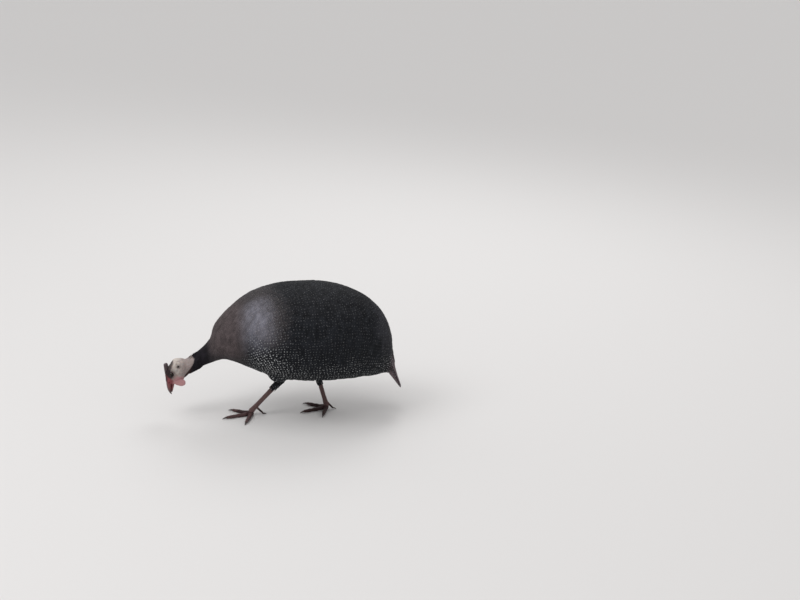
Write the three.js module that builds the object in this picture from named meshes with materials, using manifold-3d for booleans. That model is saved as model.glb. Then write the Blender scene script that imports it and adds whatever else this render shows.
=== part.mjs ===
// Helmeted guinea fowl, life size, walking with its head down to feed.
// Millimetres, +Z up. The bird faces -Y and its left side is +X. It stands on the plane z = 0.
import * as THREE from 'three';
import { mergeVertices } from 'three/addons/utils/BufferGeometryUtils.js';
import Module from 'manifold-3d';

const wasm = await Module();
wasm.setup();

// Parting gap between neighbouring parts, and the smallest half size of any section
const GAP = 0.3;
const SMALLEST = 0.25;

// Trunk: upright sections from the breast back to the rump.
// y place, z of the back, z of the belly, half width, and how square the section is
const BACK_HEIGHT = 272;
const BELLY_HEIGHT = 74;
const TRUNK_HALF_WIDTH = 93;
const TRUNK_STATIONS = [
  { y: -183, top: 158, bottom: 158, half: 0, square: 2.0 },
  { y: -181.5, top: 172, bottom: 145, half: 19, square: 2.0 },
  { y: -176.5, top: 187, bottom: 131, half: 33, square: 2.0 },
  { y: -165, top: 203, bottom: 121, half: 45, square: 2.0 },
  { y: -144, top: 224, bottom: 116, half: 60, square: 2.05 },
  { y: -110, top: 249, bottom: 104, half: 76, square: 2.1 },
  { y: -64, top: BACK_HEIGHT - 6, bottom: 86, half: 89, square: 2.15 },
  { y: -12, top: BACK_HEIGHT, bottom: 77, half: TRUNK_HALF_WIDTH, square: 2.2 },
  { y: 42, top: BACK_HEIGHT - 1, bottom: BELLY_HEIGHT, half: TRUNK_HALF_WIDTH - 3, square: 2.2 },
  { y: 90, top: 259, bottom: 76, half: 79, square: 2.15 },
  { y: 128, top: 238, bottom: 78, half: 62, square: 2.1 },
  { y: 155, top: 210, bottom: 81, half: 46, square: 2.05 },
  { y: 171, top: 176, bottom: 87, half: 32, square: 2.0 },
  { y: 178, top: 130, bottom: 130, half: 0, square: 2.0 },
];

// Tail: drooped fan of feathers, its middle line running down behind the rump
const TAIL_STATIONS = [
  { at: [0, 132, 176], half: 26, up: 24, down: 30 },
  { at: [0, 150, 150], half: 34, up: 25, down: 28 },
  { at: [0, 163, 122], half: 35, up: 18, down: 22 },
  { at: [0, 175, 98], half: 33, up: 11, down: 12 },
  { at: [0, 187, 77], half: 29, up: 5.5, down: 5.5 },
  { at: [0, 196, 62], half: 22, up: 2.6, down: 2.6 },
  { at: [0, 200, 55], half: 12, up: 1.4, down: 1.4 },
  { at: [0, 201, 53], half: 0, up: 0, down: 0 },
];

// Neck: from inside the breast forward and down to the back of the head
const NECK_STATIONS = [
  { at: [0, -128, 160], half: 0, up: 0, down: 0 },
  { at: [0, -138, 156], half: 30, up: 26, down: 26 },
  { at: [0, -160, 144], half: 34, up: 29, down: 27 },
  { at: [0, -181, 129], half: 24.5, up: 22, down: 18.5 },
  { at: [0, -199, 119], half: 17.5, up: 16.5, down: 15.5 },
  { at: [0, -216, 110], half: 14.5, up: 14.5, down: 16 },
  { at: [0, -231, 102], half: 12.5, up: 13, down: 15 },
  { at: [0, -238, 99], half: 0, up: 0, down: 0 },
];

// Head: own axes with the origin between the eyes, "fore" along the bill and "crown" across it
const EYE_LINE = [-254.5, 91];
const HEAD_PITCH_DEG = 72;
const HEAD_STATIONS = [
  { fore: -34, top: -14, bottom: -14, half: 0, square: 2.0 },
  { fore: -32, top: -3, bottom: -26, half: 9.5, square: 2.0 },
  { fore: -25, top: 5.5, bottom: -32, half: 13, square: 2.0 },
  { fore: -12, top: 10.5, bottom: -32.5, half: 14.8, square: 2.1 },
  { fore: 0, top: 11.5, bottom: -27, half: 13.6, square: 2.15 },
  { fore: 8, top: 9, bottom: -20, half: 11.3, square: 2.2 },
  { fore: 15, top: 5.5, bottom: -15, half: 9, square: 2.2 },
  { fore: 20, top: 2.8, bottom: -13, half: 7.4, square: 2.1 },
  { fore: 22.5, top: -4.5, bottom: -4.5, half: 0, square: 2.0 },
];

// Eye: ball radius and how far its middle stands out from the middle plane
const EYE_RADIUS = 5.4;
const EYE_OUT = 9.2;

// Ear opening: a shallow round pit behind and below the eye
const EAR_AT = [-19, -6];
const EAR_RADIUS = 2.6;

// Bill: upper half hooked over the lower half
const BILL_LENGTH = 42;
const BILL_TIP_DROP = 16;
const BILL_HALF_WIDTH = 7.2;
const UPPER_BILL_STATIONS = [
  { fore: 16, top: -2, bottom: -2, half: 0, square: 2.0 },
  { fore: 17, top: 3.2, bottom: -8, half: BILL_HALF_WIDTH - 1, square: 2.2 },
  { fore: 24, top: 1.2, bottom: -9, half: BILL_HALF_WIDTH, square: 2.2 },
  { fore: 31, top: -2.6, bottom: -11, half: 5.6, square: 2.1 },
  { fore: 37, top: -7.6, bottom: -13, half: 3.7, square: 2.0 },
  { fore: BILL_LENGTH - 1.2, top: -12.6, bottom: -15.8, half: 1.7, square: 2.0 },
  { fore: BILL_LENGTH, top: -BILL_TIP_DROP, bottom: -BILL_TIP_DROP, half: 0, square: 2.0 },
];
const LOWER_BILL_STATIONS = [
  { fore: 16, top: -11, bottom: -11, half: 0, square: 2.0 },
  { fore: 17, top: -8.3, bottom: -13.4, half: BILL_HALF_WIDTH - 1.2, square: 2.1 },
  { fore: 24, top: -9.3, bottom: -14.6, half: BILL_HALF_WIDTH - 0.6, square: 2.1 },
  { fore: 31, top: -11.3, bottom: -15.6, half: 4.7, square: 2.0 },
  { fore: 36, top: -13.3, bottom: -16, half: 2.6, square: 2.0 },
  { fore: 38, top: -15, bottom: -15, half: 0, square: 2.0 },
];

// Casque: horn blade on the crown that leans back
const CASQUE_STATIONS = [
  { at: [3, 2], long: 0, half: 0 },
  { at: [2, 4], long: 11, half: 5 },
  { at: [-4, 10], long: 10.5, half: 5.4 },
  { at: [-9.5, 14.5], long: 8, half: 4.6 },
  { at: [-14.5, 18.5], long: 5, half: 3.4 },
  { at: [-18.5, 21.5], long: 2.6, half: 2 },
  { at: [-19.5, 22.3], long: 0, half: 0 },
];

// Wattle: flat lobe hung from the corner of the mouth
const WATTLE_LENGTH = 23;
const WATTLE_HALF_WIDTH = 7;
const WATTLE_HALF_THICKNESS = 1.7;
const WATTLE_ROOT = [15, -9, 7.5];
const WATTLE_TIP = [7, -31, 14];

// Wing: folded against the side. Outline in the side view, in order round the wing
const WING_OUTLINE = [
  [-130, 172], [-108, 222], [-40, 250], [45, 243], [115, 190], [157, 112], [120, 100], [50, 104], [-40, 112],
  [-105, 132],
];
const WING_PROUD = 2.2;
const WING_DEPTH = 8;
const WING_INNER_X = 18;

// Legs: knee, hock and ankle points, then a heading and a length for each toe.
// A heading is measured from straight ahead, towards the bird's left side
const THIGH_TOP_RADIUS = 24;
const HOCK_RADIUS = 6.4;
const SHANK_RADIUS = 4.3;
const ANKLE_RADIUS = 5.6;
const ANKLE_SHARE = 0.78;
const TOE_RADIUS = 4.1;
const TOE_AXIS_HEIGHT = 3.3;
const CLAW_LENGTH = 10;
const LEGS = {
  left: {
    knee: [36, -70, 138],
    hock: [17, -45, 79],
    ankle: [5, -98, 10],
    toes: [
      { heading: 68, length: 42, bones: 4 },
      { heading: 16, length: 51, bones: 4 },
      { heading: -32, length: 39, bones: 3 },
    ],
    hind: { heading: 193, length: 17 },
  },
  right: {
    knee: [-38, -8, 138],
    hock: [-22, 34, 75],
    ankle: [-17, 56, 10],
    toes: [
      { heading: 70, length: 37, bones: 3 },
      { heading: 19, length: 50, bones: 4 },
      { heading: -34, length: 41, bones: 4 },
    ],
    hind: { heading: 172, length: 17 },
  },
};

// Surface looks
const PLUMAGE = new THREE.MeshStandardMaterial({ color: 0x2f3439, roughness: 0.75, metalness: 0 });
const NECK_PLUMAGE = new THREE.MeshStandardMaterial({ color: 0x22242a, roughness: 0.8, metalness: 0 });
const FACE_SKIN = new THREE.MeshStandardMaterial({ color: 0xd8d2c4, roughness: 0.6, metalness: 0 });
const BILL_HORN = new THREE.MeshStandardMaterial({ color: 0x7c4a40, roughness: 0.4, metalness: 0 });
const CASQUE_HORN = new THREE.MeshStandardMaterial({ color: 0x5a4646, roughness: 0.5, metalness: 0 });
const WATTLE_SKIN = new THREE.MeshStandardMaterial({ color: 0xcf6a62, roughness: 0.55, metalness: 0 });
const EYE_GLOSS = new THREE.MeshStandardMaterial({ color: 0x1a1110, roughness: 0.1, metalness: 0 });
const LEG_SKIN = new THREE.MeshStandardMaterial({ color: 0x5c3a36, roughness: 0.6, metalness: 0 });
const CLAW_HORN = new THREE.MeshStandardMaterial({ color: 0x3a2a26, roughness: 0.45, metalness: 0 });

const SIDE = new THREE.Vector3(1, 0, 0);
const UP = new THREE.Vector3(0, 0, 1);
const pitch = THREE.MathUtils.degToRad(HEAD_PITCH_DEG);
const FORE = new THREE.Vector3(0, -Math.cos(pitch), -Math.sin(pitch));
const CROWN = new THREE.Vector3(0, -Math.sin(pitch), Math.cos(pitch));

const lerp = THREE.MathUtils.lerp;

// A smooth curve through four values, at t between the middle two
function through(a, b, c, d, t) {
  const slope0 = (c - a) / 2;
  const slope1 = (d - b) / 2;
  const t2 = t * t;
  const t3 = t2 * t;
  return (2 * t3 - 3 * t2 + 1) * b + (t3 - 2 * t2 + t) * slope0 + (3 * t2 - 2 * t3) * c + (t3 - t2) * slope1;
}

// Stations between the given ones. Every number in a station is carried smoothly along
function filled(stations, steps) {
  const last = stations.length - 1;
  const rows = stations.map(s => [s.x, s.y, s.z, s.half, s.up, s.down, s.square]);
  const out = [];
  for (let i = 0; i < last; i++) {
    const around = [rows[Math.max(i - 1, 0)], rows[i], rows[i + 1], rows[Math.min(i + 2, last)]];
    for (let j = 0; j < steps; j++) {
      out.push(rows[i].map((_, k) => through(...around.map(row => row[k]), j / steps)));
    }
  }
  out.push(rows[last]);
  return out.map(([x, y, z, half, up, down, square]) => ({ x, y, z, half, up, down, square }));
}

// Sections of a body, each a rounded outline about its centre, joined into one closed solid.
// axes gives the section's side and up directions; without it they follow the middle line
function loft(stations, { steps = 3, sides = 20, grow = 0, axes = null } = {}) {
  const rings = filled(stations, steps);
  const centres = rings.map(r => new THREE.Vector3(r.x, r.y, r.z));
  const positions = [];
  const faces = [];
  const last = rings.length - 1;
  const sideNear = new THREE.Vector3();
  const upNear = new THREE.Vector3();
  centres.forEach((centre, i) => {
    const along = centres[Math.min(i + 1, last)].clone().sub(centres[Math.max(i - 1, 0)]).normalize();
    if (axes) {
      sideNear.copy(axes.side);
      upNear.copy(axes.up);
    } else {
      sideNear.copy(SIDE).addScaledVector(along, -along.dot(SIDE)).normalize();
      upNear.crossVectors(sideNear, along).normalize();
      if (upNear.z < 0) upNear.negate();
    }
    if (i === 0 || i === last) {
      const tip = centre.clone().addScaledVector(along, i === 0 ? -grow : grow);
      positions.push(tip.x, tip.y, tip.z);
      return;
    }
    const { half, up, down, square } = rings[i];
    for (let k = 0; k < sides; k++) {
      const angle = (2 * Math.PI * k) / sides;
      const c = Math.sign(Math.cos(angle)) * Math.abs(Math.cos(angle)) ** (2 / square);
      const s = Math.sign(Math.sin(angle)) * Math.abs(Math.sin(angle)) ** (2 / square);
      const across = c * Math.max(half + grow, SMALLEST);
      const lift = s * Math.max((s > 0 ? up : down) + grow, SMALLEST);
      const p = centre.clone().addScaledVector(sideNear, across).addScaledVector(upNear, lift);
      positions.push(p.x, p.y, p.z);
    }
  });
  const ringStart = i => 1 + (i - 1) * sides;
  const end = 1 + (last - 1) * sides;
  for (let k = 0; k < sides; k++) {
    const next = (k + 1) % sides;
    faces.push(0, ringStart(1) + k, ringStart(1) + next);
    faces.push(end, ringStart(last - 1) + next, ringStart(last - 1) + k);
    for (let i = 1; i < last - 1; i++) {
      const a = ringStart(i) + k;
      const b = ringStart(i) + next;
      faces.push(a, a + sides, b, b, a + sides, b + sides);
    }
  }
  return solid(positions, faces);
}

// A closed solid from its points and triangles, turned right way out
function solid(positions, faces) {
  const build = list => new wasm.Manifold(new wasm.Mesh({
    numProp: 3,
    vertProperties: new Float32Array(positions),
    triVerts: new Uint32Array(list),
  }));
  const made = build(faces);
  if (made.volume() > 0) return made;
  const turned = [];
  for (let i = 0; i < faces.length; i += 3) turned.push(faces[i], faces[i + 2], faces[i + 1]);
  return build(turned);
}

// The solid of a three.js geometry
function solidOf(geometry) {
  const bare = geometry.clone();
  bare.deleteAttribute('normal');
  bare.deleteAttribute('uv');
  const merged = mergeVertices(bare, 1e-4);
  return solid(merged.attributes.position.array, merged.index.array);
}

// The three.js geometry of a solid
function geometryOf(shape) {
  const mesh = shape.getMesh();
  const geometry = new THREE.BufferGeometry();
  const points = [];
  for (let i = 0; i < mesh.numVert; i++) {
    const at = i * mesh.numProp;
    points.push(mesh.vertProperties[at], mesh.vertProperties[at + 1], mesh.vertProperties[at + 2]);
  }
  geometry.setAttribute('position', new THREE.Float32BufferAttribute(points, 3));
  geometry.setIndex(Array.from(mesh.triVerts));
  geometry.computeVertexNormals();
  return geometry;
}

function ball(centre, radius, detail = 2) {
  const geometry = new THREE.IcosahedronGeometry(radius, detail);
  geometry.translate(centre.x, centre.y, centre.z);
  return solidOf(geometry);
}

// A point given along the bill, across it to the crown, and out to the bird's left
function headPoint(fore, crown, out = 0) {
  return new THREE.Vector3(out, EYE_LINE[0], EYE_LINE[1]).addScaledVector(FORE, fore).addScaledVector(CROWN, crown);
}

// Stations of the head and bill as centre points with half sizes
function headStations(stations) {
  return stations.map(({ fore, top, bottom, half, square }) => {
    const centre = headPoint(fore, (top + bottom) / 2);
    const tall = (top - bottom) / 2;
    return { x: 0, y: centre.y, z: centre.z, half, up: tall, down: tall, square };
  });
}

function lineStations(stations) {
  return stations.map(({ at, half, up, down }) => ({ x: at[0], y: at[1], z: at[2], half, up, down, square: 2 }));
}

function trunkSolid(grow = 0) {
  const stations = TRUNK_STATIONS.map(({ y, top, bottom, half, square }) => {
    const tall = (top - bottom) / 2;
    return { x: 0, y, z: (top + bottom) / 2, half, up: tall, down: tall, square };
  });
  return loft(stations, { steps: 2, sides: 20, grow, axes: { side: SIDE, up: UP } });
}

function tailSolid(grow = 0) {
  return loft(lineStations(TAIL_STATIONS), { steps: 2, sides: 16, grow });
}

function neckSolid(grow = 0) {
  return loft(lineStations(NECK_STATIONS), { steps: 2, sides: 16, grow });
}

function headSolid(grow = 0) {
  return loft(headStations(HEAD_STATIONS), { steps: 2, sides: 18, grow, axes: { side: SIDE, up: CROWN } });
}

function billSolid(stations, grow = 0) {
  return loft(headStations(stations), { steps: 2, sides: 10, grow, axes: { side: SIDE, up: CROWN } });
}

// The casque's sections lie along the crown, so they are long fore and aft and narrow across
function casqueSolid(grow = 0) {
  const stations = CASQUE_STATIONS.map(({ at, long, half }) => {
    const centre = headPoint(at[0], at[1]);
    return { x: 0, y: centre.y, z: centre.z, half, up: long, down: long, square: 2 };
  });
  return loft(stations, { steps: 2, sides: 10, grow, axes: { side: SIDE, up: FORE } });
}

// One wattle: a lobe that widens below its root and ends round
function wattleSolid(sign) {
  const root = headPoint(WATTLE_ROOT[0], WATTLE_ROOT[1], sign * WATTLE_ROOT[2]);
  const tip = headPoint(WATTLE_TIP[0], WATTLE_TIP[1], sign * WATTLE_TIP[2]);
  const down = tip.clone().sub(root).normalize();
  const broad = FORE.clone().addScaledVector(down, -down.dot(FORE)).normalize();
  const flat = new THREE.Vector3().crossVectors(broad, down).normalize();
  const shape = [[0, 0, 0], [0.06, 0.45, 1], [0.35, 0.8, 1], [0.65, 1, 1], [0.88, 0.8, 0.9], [0.98, 0.4, 0.6], [1, 0, 0]];
  const stations = shape.map(([share, width, thick]) => {
    const centre = root.clone().addScaledVector(down, share * WATTLE_LENGTH);
    const deep = width * WATTLE_HALF_WIDTH;
    return { x: centre.x, y: centre.y, z: centre.z, half: thick * WATTLE_HALF_THICKNESS, up: deep, down: deep, square: 2 };
  });
  return loft(stations, { steps: 2, sides: 8, axes: { side: flat, up: broad } });
}

// A block through the side of the body, with the folded wing's outline
function wingBlock(sign, spread = 0) {
  const middle = WING_OUTLINE.reduce((sum, p) => [sum[0] + p[0], sum[1] + p[1]], [0, 0]);
  const centre = new THREE.Vector2(middle[0], middle[1]).divideScalar(WING_OUTLINE.length);
  const points = WING_OUTLINE.map(([y, z]) => {
    const away = new THREE.Vector2(y, z).sub(centre);
    return away.setLength(away.length() + spread).add(centre);
  });
  const curve = new THREE.CatmullRomCurve3(points.map(p => new THREE.Vector3(p.x, p.y, 0)), true);
  const ring = curve.getPoints(18).slice(0, -1).map(p => new THREE.Vector2(p.x, p.y));
  const block = new THREE.ExtrudeGeometry(new THREE.Shape(ring), {
    depth: 2 * TRUNK_HALF_WIDTH,
    bevelEnabled: false,
    steps: 1,
  });
  const outward = new THREE.Vector3(sign, 0, 0);
  block.applyMatrix4(new THREE.Matrix4().makeBasis(new THREE.Vector3(0, 1, 0), UP, outward));
  block.translate(sign * (WING_INNER_X - spread), 0, 0);
  return solidOf(block);
}

function point(list) {
  return new THREE.Vector3(...list);
}

// The feathered upper leg, mostly hidden in the flank
function thighSolid(leg, grow = 0) {
  const knee = point(leg.knee);
  const hock = point(leg.hock);
  const shape = [[0, 0], [0.05, 0.6], [0.25, 1], [0.5, 0.86], [0.75, 0.6], [0.92, 0.42], [1, 0.33], [1.07, 0]];
  const stations = shape.map(([share, size]) => {
    const at = knee.clone().lerp(hock, share);
    const r = size * THIGH_TOP_RADIUS;
    return { x: at.x, y: at.y, z: at.z, half: r, up: r, down: r, square: 2 };
  });
  return loft(stations, { steps: 1, sides: 12, grow });
}

// The bare leg: a knob at the hock and a slim shank
function shankSolid(leg, grow = 0) {
  const hock = point(leg.hock);
  const ankle = point(leg.ankle);
  const shape = [
    [-0.09, 0], [-0.07, 0.7], [0, 1], [0.1, 0.86], [0.3, 0.7], [0.55, SHANK_RADIUS / HOCK_RADIUS],
    [ANKLE_SHARE + 0.04, SHANK_RADIUS / HOCK_RADIUS], [ANKLE_SHARE + 0.05, 0],
  ];
  const stations = shape.map(([share, size]) => {
    const at = hock.clone().lerp(ankle, share);
    const r = size * HOCK_RADIUS;
    return { x: at.x, y: at.y, z: at.z, half: r, up: r, down: r, square: 2 };
  });
  return loft(stations, { steps: 1, sides: 10, grow });
}

// The lowest part of the leg, widening to the ankle, belongs to the foot
function ankleSolid(leg, grow) {
  const hock = point(leg.hock);
  const ankle = point(leg.ankle);
  const shape = [[ANKLE_SHARE, 0], [ANKLE_SHARE + 0.005, SHANK_RADIUS], [0.92, 4.9], [1, ANKLE_RADIUS], [1.02, 0]];
  const stations = shape.map(([share, r]) => {
    const at = hock.clone().lerp(ankle, share);
    return { x: at.x, y: at.y, z: at.z, half: r, up: r, down: r, square: 2 };
  });
  return loft(stations, { steps: 1, sides: 10, grow });
}

function headingVector(degrees) {
  const angle = THREE.MathUtils.degToRad(degrees);
  return new THREE.Vector3(Math.sin(angle), -Math.cos(angle), 0);
}

// Middle line of a toe, from the ankle down to its pads on the ground
function toePoint(leg, toe, share) {
  const ankle = point(leg.ankle);
  const reach = headingVector(toe.heading).multiplyScalar(toe.length * share);
  const height = lerp(ankle.z - 2, TOE_AXIS_HEIGHT, THREE.MathUtils.clamp(share * 3.2, 0, 1) ** 0.7);
  return new THREE.Vector3(ankle.x + reach.x, ankle.y + reach.y, height);
}

// A toe with a swelling at each joint, slimmer towards the claw
function toeSolid(leg, toe, grow = 0) {
  const stations = [];
  const count = toe.bones * 2;
  for (let i = 0; i <= count; i++) {
    const share = i / count;
    const at = toePoint(leg, toe, share);
    const taper = lerp(1.12, 0.74, share);
    const r = i === count ? 0.62 * TOE_RADIUS : TOE_RADIUS * taper * (i % 2 ? 0.88 : 1.04);
    stations.push({ x: at.x, y: at.y, z: at.z, half: r, up: r, down: r, square: 2 });
  }
  const first = toePoint(leg, toe, -0.07);
  const beyond = toePoint(leg, toe, 1.05);
  stations.unshift({ ...stations[0], x: first.x, y: first.y, z: first.z, half: 0, up: 0, down: 0 });
  stations.push({ ...stations[0], x: beyond.x, y: beyond.y, z: beyond.z, half: 0, up: 0, down: 0 });
  return toeLoft(stations, headingVector(toe.heading), grow);
}

// A toe's or claw's sections stand across its heading
function toeLoft(stations, ahead, grow, sides = 6) {
  const across = new THREE.Vector3().crossVectors(ahead, UP).normalize();
  return loft(stations, { steps: 1, sides, grow, axes: { side: across, up: UP } });
}

// The hind toe leaves the shank a little above the ankle and just reaches down to the ground
const HIND_ROOT_SHARE = 0.86;
const HIND_RADIUS = 3;
const HIND_TIP_HEIGHT = 3.1;
function hindPoint(leg, share) {
  const root = point(leg.hock).lerp(point(leg.ankle), HIND_ROOT_SHARE);
  const reach = headingVector(leg.hind.heading).multiplyScalar(leg.hind.length * share);
  const height = lerp(root.z, HIND_TIP_HEIGHT, share);
  return new THREE.Vector3(root.x + reach.x, root.y + reach.y, height);
}

function hindSolid(leg, grow = 0) {
  const shape = [[-0.1, 0], [0.02, 0.95], [0.35, 1], [0.65, 0.86], [0.92, 0.82], [1.03, 0.5], [1.08, 0]];
  const stations = shape.map(([share, size]) => {
    const at = hindPoint(leg, share);
    const r = size * HIND_RADIUS;
    return { x: at.x, y: at.y, z: at.z, half: r, up: r, down: r, square: 2 };
  });
  return toeLoft(stations, headingVector(leg.hind.heading), grow);
}

// Ankle, three front toes and the hind toe, flattened where they stand
function footSolid(leg, grow = 0) {
  const hub = ball(point(leg.ankle), ANKLE_RADIUS + grow, 1);
  const pad = ball(point([leg.ankle[0], leg.ankle[1], TOE_AXIS_HEIGHT + 1]), TOE_RADIUS + 1.2 + grow, 1);
  const toes = leg.toes.map(toe => toeSolid(leg, toe, grow));
  const pieces = [pad, ankleSolid(leg, grow), ...toes, hindSolid(leg, grow)];
  const joined = pieces.reduce((sum, piece) => sum.add(piece), hub);
  return grow ? joined : joined.subtract(floorBlock());
}

// Everything below the ground plane
function floorBlock() {
  const depth = 60;
  const box = new THREE.BoxGeometry(600, 600, depth);
  box.translate(0, 0, -depth / 2);
  return solidOf(box);
}

// A claw curves down from the end of its toe to just above the ground
const CLAW_CLEAR = 0.35;
function clawSolid(from, heading, length) {
  const ahead = headingVector(heading);
  const shape = [[-0.08, 0], [-0.04, 0.8], [0.1, 1], [0.4, 0.78], [0.75, 0.46], [0.95, 0.24], [1, 0]];
  const base = 0.2 * length;
  const tipRadius = 0.5;
  const stations = shape.map(([share, size]) => {
    const at = from.clone().addScaledVector(ahead, share * length);
    const r = size === 0 ? 0 : Math.max(size * base, tipRadius);
    const bend = Math.max(share, 0) ** 2;
    const z = Math.max(lerp(from.z, tipRadius + CLAW_CLEAR, bend), r + CLAW_CLEAR);
    return { x: at.x, y: at.y, z, half: r * 0.85, up: r, down: r, square: 2 };
  });
  return toeLoft(stations, ahead, 0, 7);
}

const parts = new THREE.Group();

function addPart(name, shape, material) {
  const mesh = new THREE.Mesh(geometryOf(shape), material);
  mesh.name = name;
  parts.add(mesh);
}

// Head, with sockets for the eyes and a pit for each ear
function buildHead() {
  const grown = headSolid(GAP);
  let head = headSolid();
  for (const [name, sign] of [['left', 1], ['right', -1]]) {
    const centre = headPoint(0, 0, sign * EYE_OUT);
    head = head.subtract(ball(centre, EYE_RADIUS + GAP));
    const ear = headPoint(EAR_AT[0], EAR_AT[1], sign * 14.4);
    head = head.subtract(ball(ear, EAR_RADIUS, 1));
    addPart(`eye_${name}`, ball(centre, EYE_RADIUS), EYE_GLOSS);
    addPart(`wattle_${name}`, wattleSolid(sign).subtract(grown), WATTLE_SKIN);
  }
  addPart('head', head, FACE_SKIN);
  const upper = billSolid(UPPER_BILL_STATIONS).subtract(grown);
  const lower = billSolid(LOWER_BILL_STATIONS).subtract(grown);
  addPart('bill_upper', upper, BILL_HORN);
  addPart('bill_lower', lower.subtract(billSolid(UPPER_BILL_STATIONS, GAP)), BILL_HORN);
  addPart('casque', casqueSolid().subtract(grown), CASQUE_HORN);
}

// Trunk with the wings let into its sides and the upper legs into its belly
function buildBody() {
  let trunk = trunkSolid();
  for (const [name, sign] of [['left', 1], ['right', -1]]) {
    const leg = LEGS[name];
    const wing = trunkSolid(WING_PROUD).intersect(wingBlock(sign)).subtract(trunkSolid(-WING_DEPTH));
    const pocket = wingBlock(sign, GAP).subtract(trunkSolid(-WING_DEPTH - GAP));
    addPart(`wing_${name}`, wing, PLUMAGE);
    trunk = trunk.subtract(pocket).subtract(thighSolid(leg, GAP)).subtract(shankSolid(leg, GAP));
    addPart(`thigh_${name}`, thighSolid(leg), PLUMAGE);
  }
  addPart('trunk', trunk, PLUMAGE);
  const grown = trunkSolid(GAP);
  addPart('tail', tailSolid().subtract(grown), PLUMAGE);
  addPart('neck', neckSolid().subtract(grown).subtract(headSolid(GAP)), NECK_PLUMAGE);
}

// Shank, foot and four claws of one leg
function buildLeg(name, leg) {
  const grownFoot = footSolid(leg, GAP);
  addPart(`shank_${name}`, shankSolid(leg).subtract(thighSolid(leg, GAP)).subtract(grownFoot), LEG_SKIN);
  addPart(`foot_${name}`, footSolid(leg), LEG_SKIN);
  leg.toes.forEach((toe, i) => {
    const claw = clawSolid(toePoint(leg, toe, 1), toe.heading, CLAW_LENGTH).subtract(grownFoot);
    addPart(`claw_${name}_${i + 1}`, claw, CLAW_HORN);
  });
  const hindClaw = clawSolid(hindPoint(leg, 1), leg.hind.heading, CLAW_LENGTH * 0.7).subtract(grownFoot);
  addPart(`claw_${name}_4`, hindClaw, CLAW_HORN);
}

buildHead();
buildBody();
for (const [name, leg] of Object.entries(LEGS)) buildLeg(name, leg);

// Origin at the middle of the bottom of the bird's box
const box = new THREE.Box3().setFromObject(parts);
parts.position.set(-(box.min.x + box.max.x) / 2, -(box.min.y + box.max.y) / 2, -box.min.z);
parts.name = 'guinea_fowl';

export default parts;
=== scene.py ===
import heapq
import math

import bmesh
import bpy
import numpy as np
from mathutils import Matrix, Vector, noise
from mathutils.bvhtree import BVHTree
from mathutils.kdtree import KDTree


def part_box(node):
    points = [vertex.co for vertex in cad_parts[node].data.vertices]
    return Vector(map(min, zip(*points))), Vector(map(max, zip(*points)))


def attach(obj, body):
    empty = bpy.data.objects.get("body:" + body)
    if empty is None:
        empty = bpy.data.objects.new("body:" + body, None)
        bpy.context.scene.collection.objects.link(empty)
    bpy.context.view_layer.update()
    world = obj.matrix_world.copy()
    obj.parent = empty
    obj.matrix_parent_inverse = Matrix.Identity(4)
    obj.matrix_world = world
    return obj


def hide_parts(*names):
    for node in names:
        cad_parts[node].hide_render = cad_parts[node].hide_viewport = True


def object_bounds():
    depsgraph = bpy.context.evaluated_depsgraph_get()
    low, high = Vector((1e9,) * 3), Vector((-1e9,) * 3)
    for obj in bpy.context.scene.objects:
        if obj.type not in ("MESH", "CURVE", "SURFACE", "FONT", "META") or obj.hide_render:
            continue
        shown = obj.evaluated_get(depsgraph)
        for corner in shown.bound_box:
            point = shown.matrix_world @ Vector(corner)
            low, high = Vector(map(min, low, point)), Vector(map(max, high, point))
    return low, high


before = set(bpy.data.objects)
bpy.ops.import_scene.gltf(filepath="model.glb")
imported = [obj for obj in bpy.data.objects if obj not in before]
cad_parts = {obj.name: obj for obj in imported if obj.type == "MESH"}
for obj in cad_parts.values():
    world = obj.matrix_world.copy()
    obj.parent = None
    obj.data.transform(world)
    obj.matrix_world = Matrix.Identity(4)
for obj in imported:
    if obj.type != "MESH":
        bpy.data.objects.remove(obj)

# The bird, life size. It faces -Y, its left side is +X, and +Z is up. The frame is in metres.
# Sizes and places below are in the bird's own millimetres, as the solids were drawn.
MM = 0.001
CAD_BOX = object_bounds()
RANDOM = np.random.RandomState(11)

# Head axes: the origin is between the eyes, "fore" runs along the bill and "crown" across it
EYE_LINE = (0.0, -254.5, 91.0)
HEAD_PITCH = math.radians(72)
FORE = np.array([0.0, -math.cos(HEAD_PITCH), -math.sin(HEAD_PITCH)])
CROWN = np.array([0.0, -math.sin(HEAD_PITCH), math.cos(HEAD_PITCH)])
EYE_RADIUS = 5.4
EYE_OUT = 9.2
EAR_AT = (-19.0, -6.0)


def node_middle(node):
    low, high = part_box(node)
    return (np.array(low) + np.array(high)) / 2


# The two sides, and the sign of each along X
SIDES = {"left": 1, "right": -1}

# Where the bird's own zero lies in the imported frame, from the two eyes
ORIGIN = (node_middle("eye_left") + node_middle("eye_right")) / 2 - np.array(EYE_LINE) * MM


def to_frame(places):
    """Bird millimetres to frame metres."""
    return np.asarray(places, float) * MM + ORIGIN


def to_bird(points):
    """Frame metres to bird millimetres."""
    return (np.asarray(points, float) - ORIGIN) / MM


# Mesh helpers

def add_object(name, data):
    """Puts a mesh, a lamp or the camera in the scene."""
    obj = bpy.data.objects.new(name, data)
    bpy.context.scene.collection.objects.link(obj)
    return obj


def drop_object(obj):
    mesh = obj.data
    bpy.data.objects.remove(obj)
    if mesh and mesh.users == 0:
        bpy.data.meshes.remove(mesh)


def plain_mesh(obj):
    """The object as its modifiers leave it, as a mesh of its own."""
    graph = bpy.context.evaluated_depsgraph_get()
    return bpy.data.meshes.new_from_object(obj.evaluated_get(graph))


def numbers_of(items, key, width, kind=float):
    """One value of many mesh items, a row for each item."""
    flat = np.empty(len(items) * width, dtype=kind)
    items.foreach_get(key, flat)
    return flat.reshape(-1, width)


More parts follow.
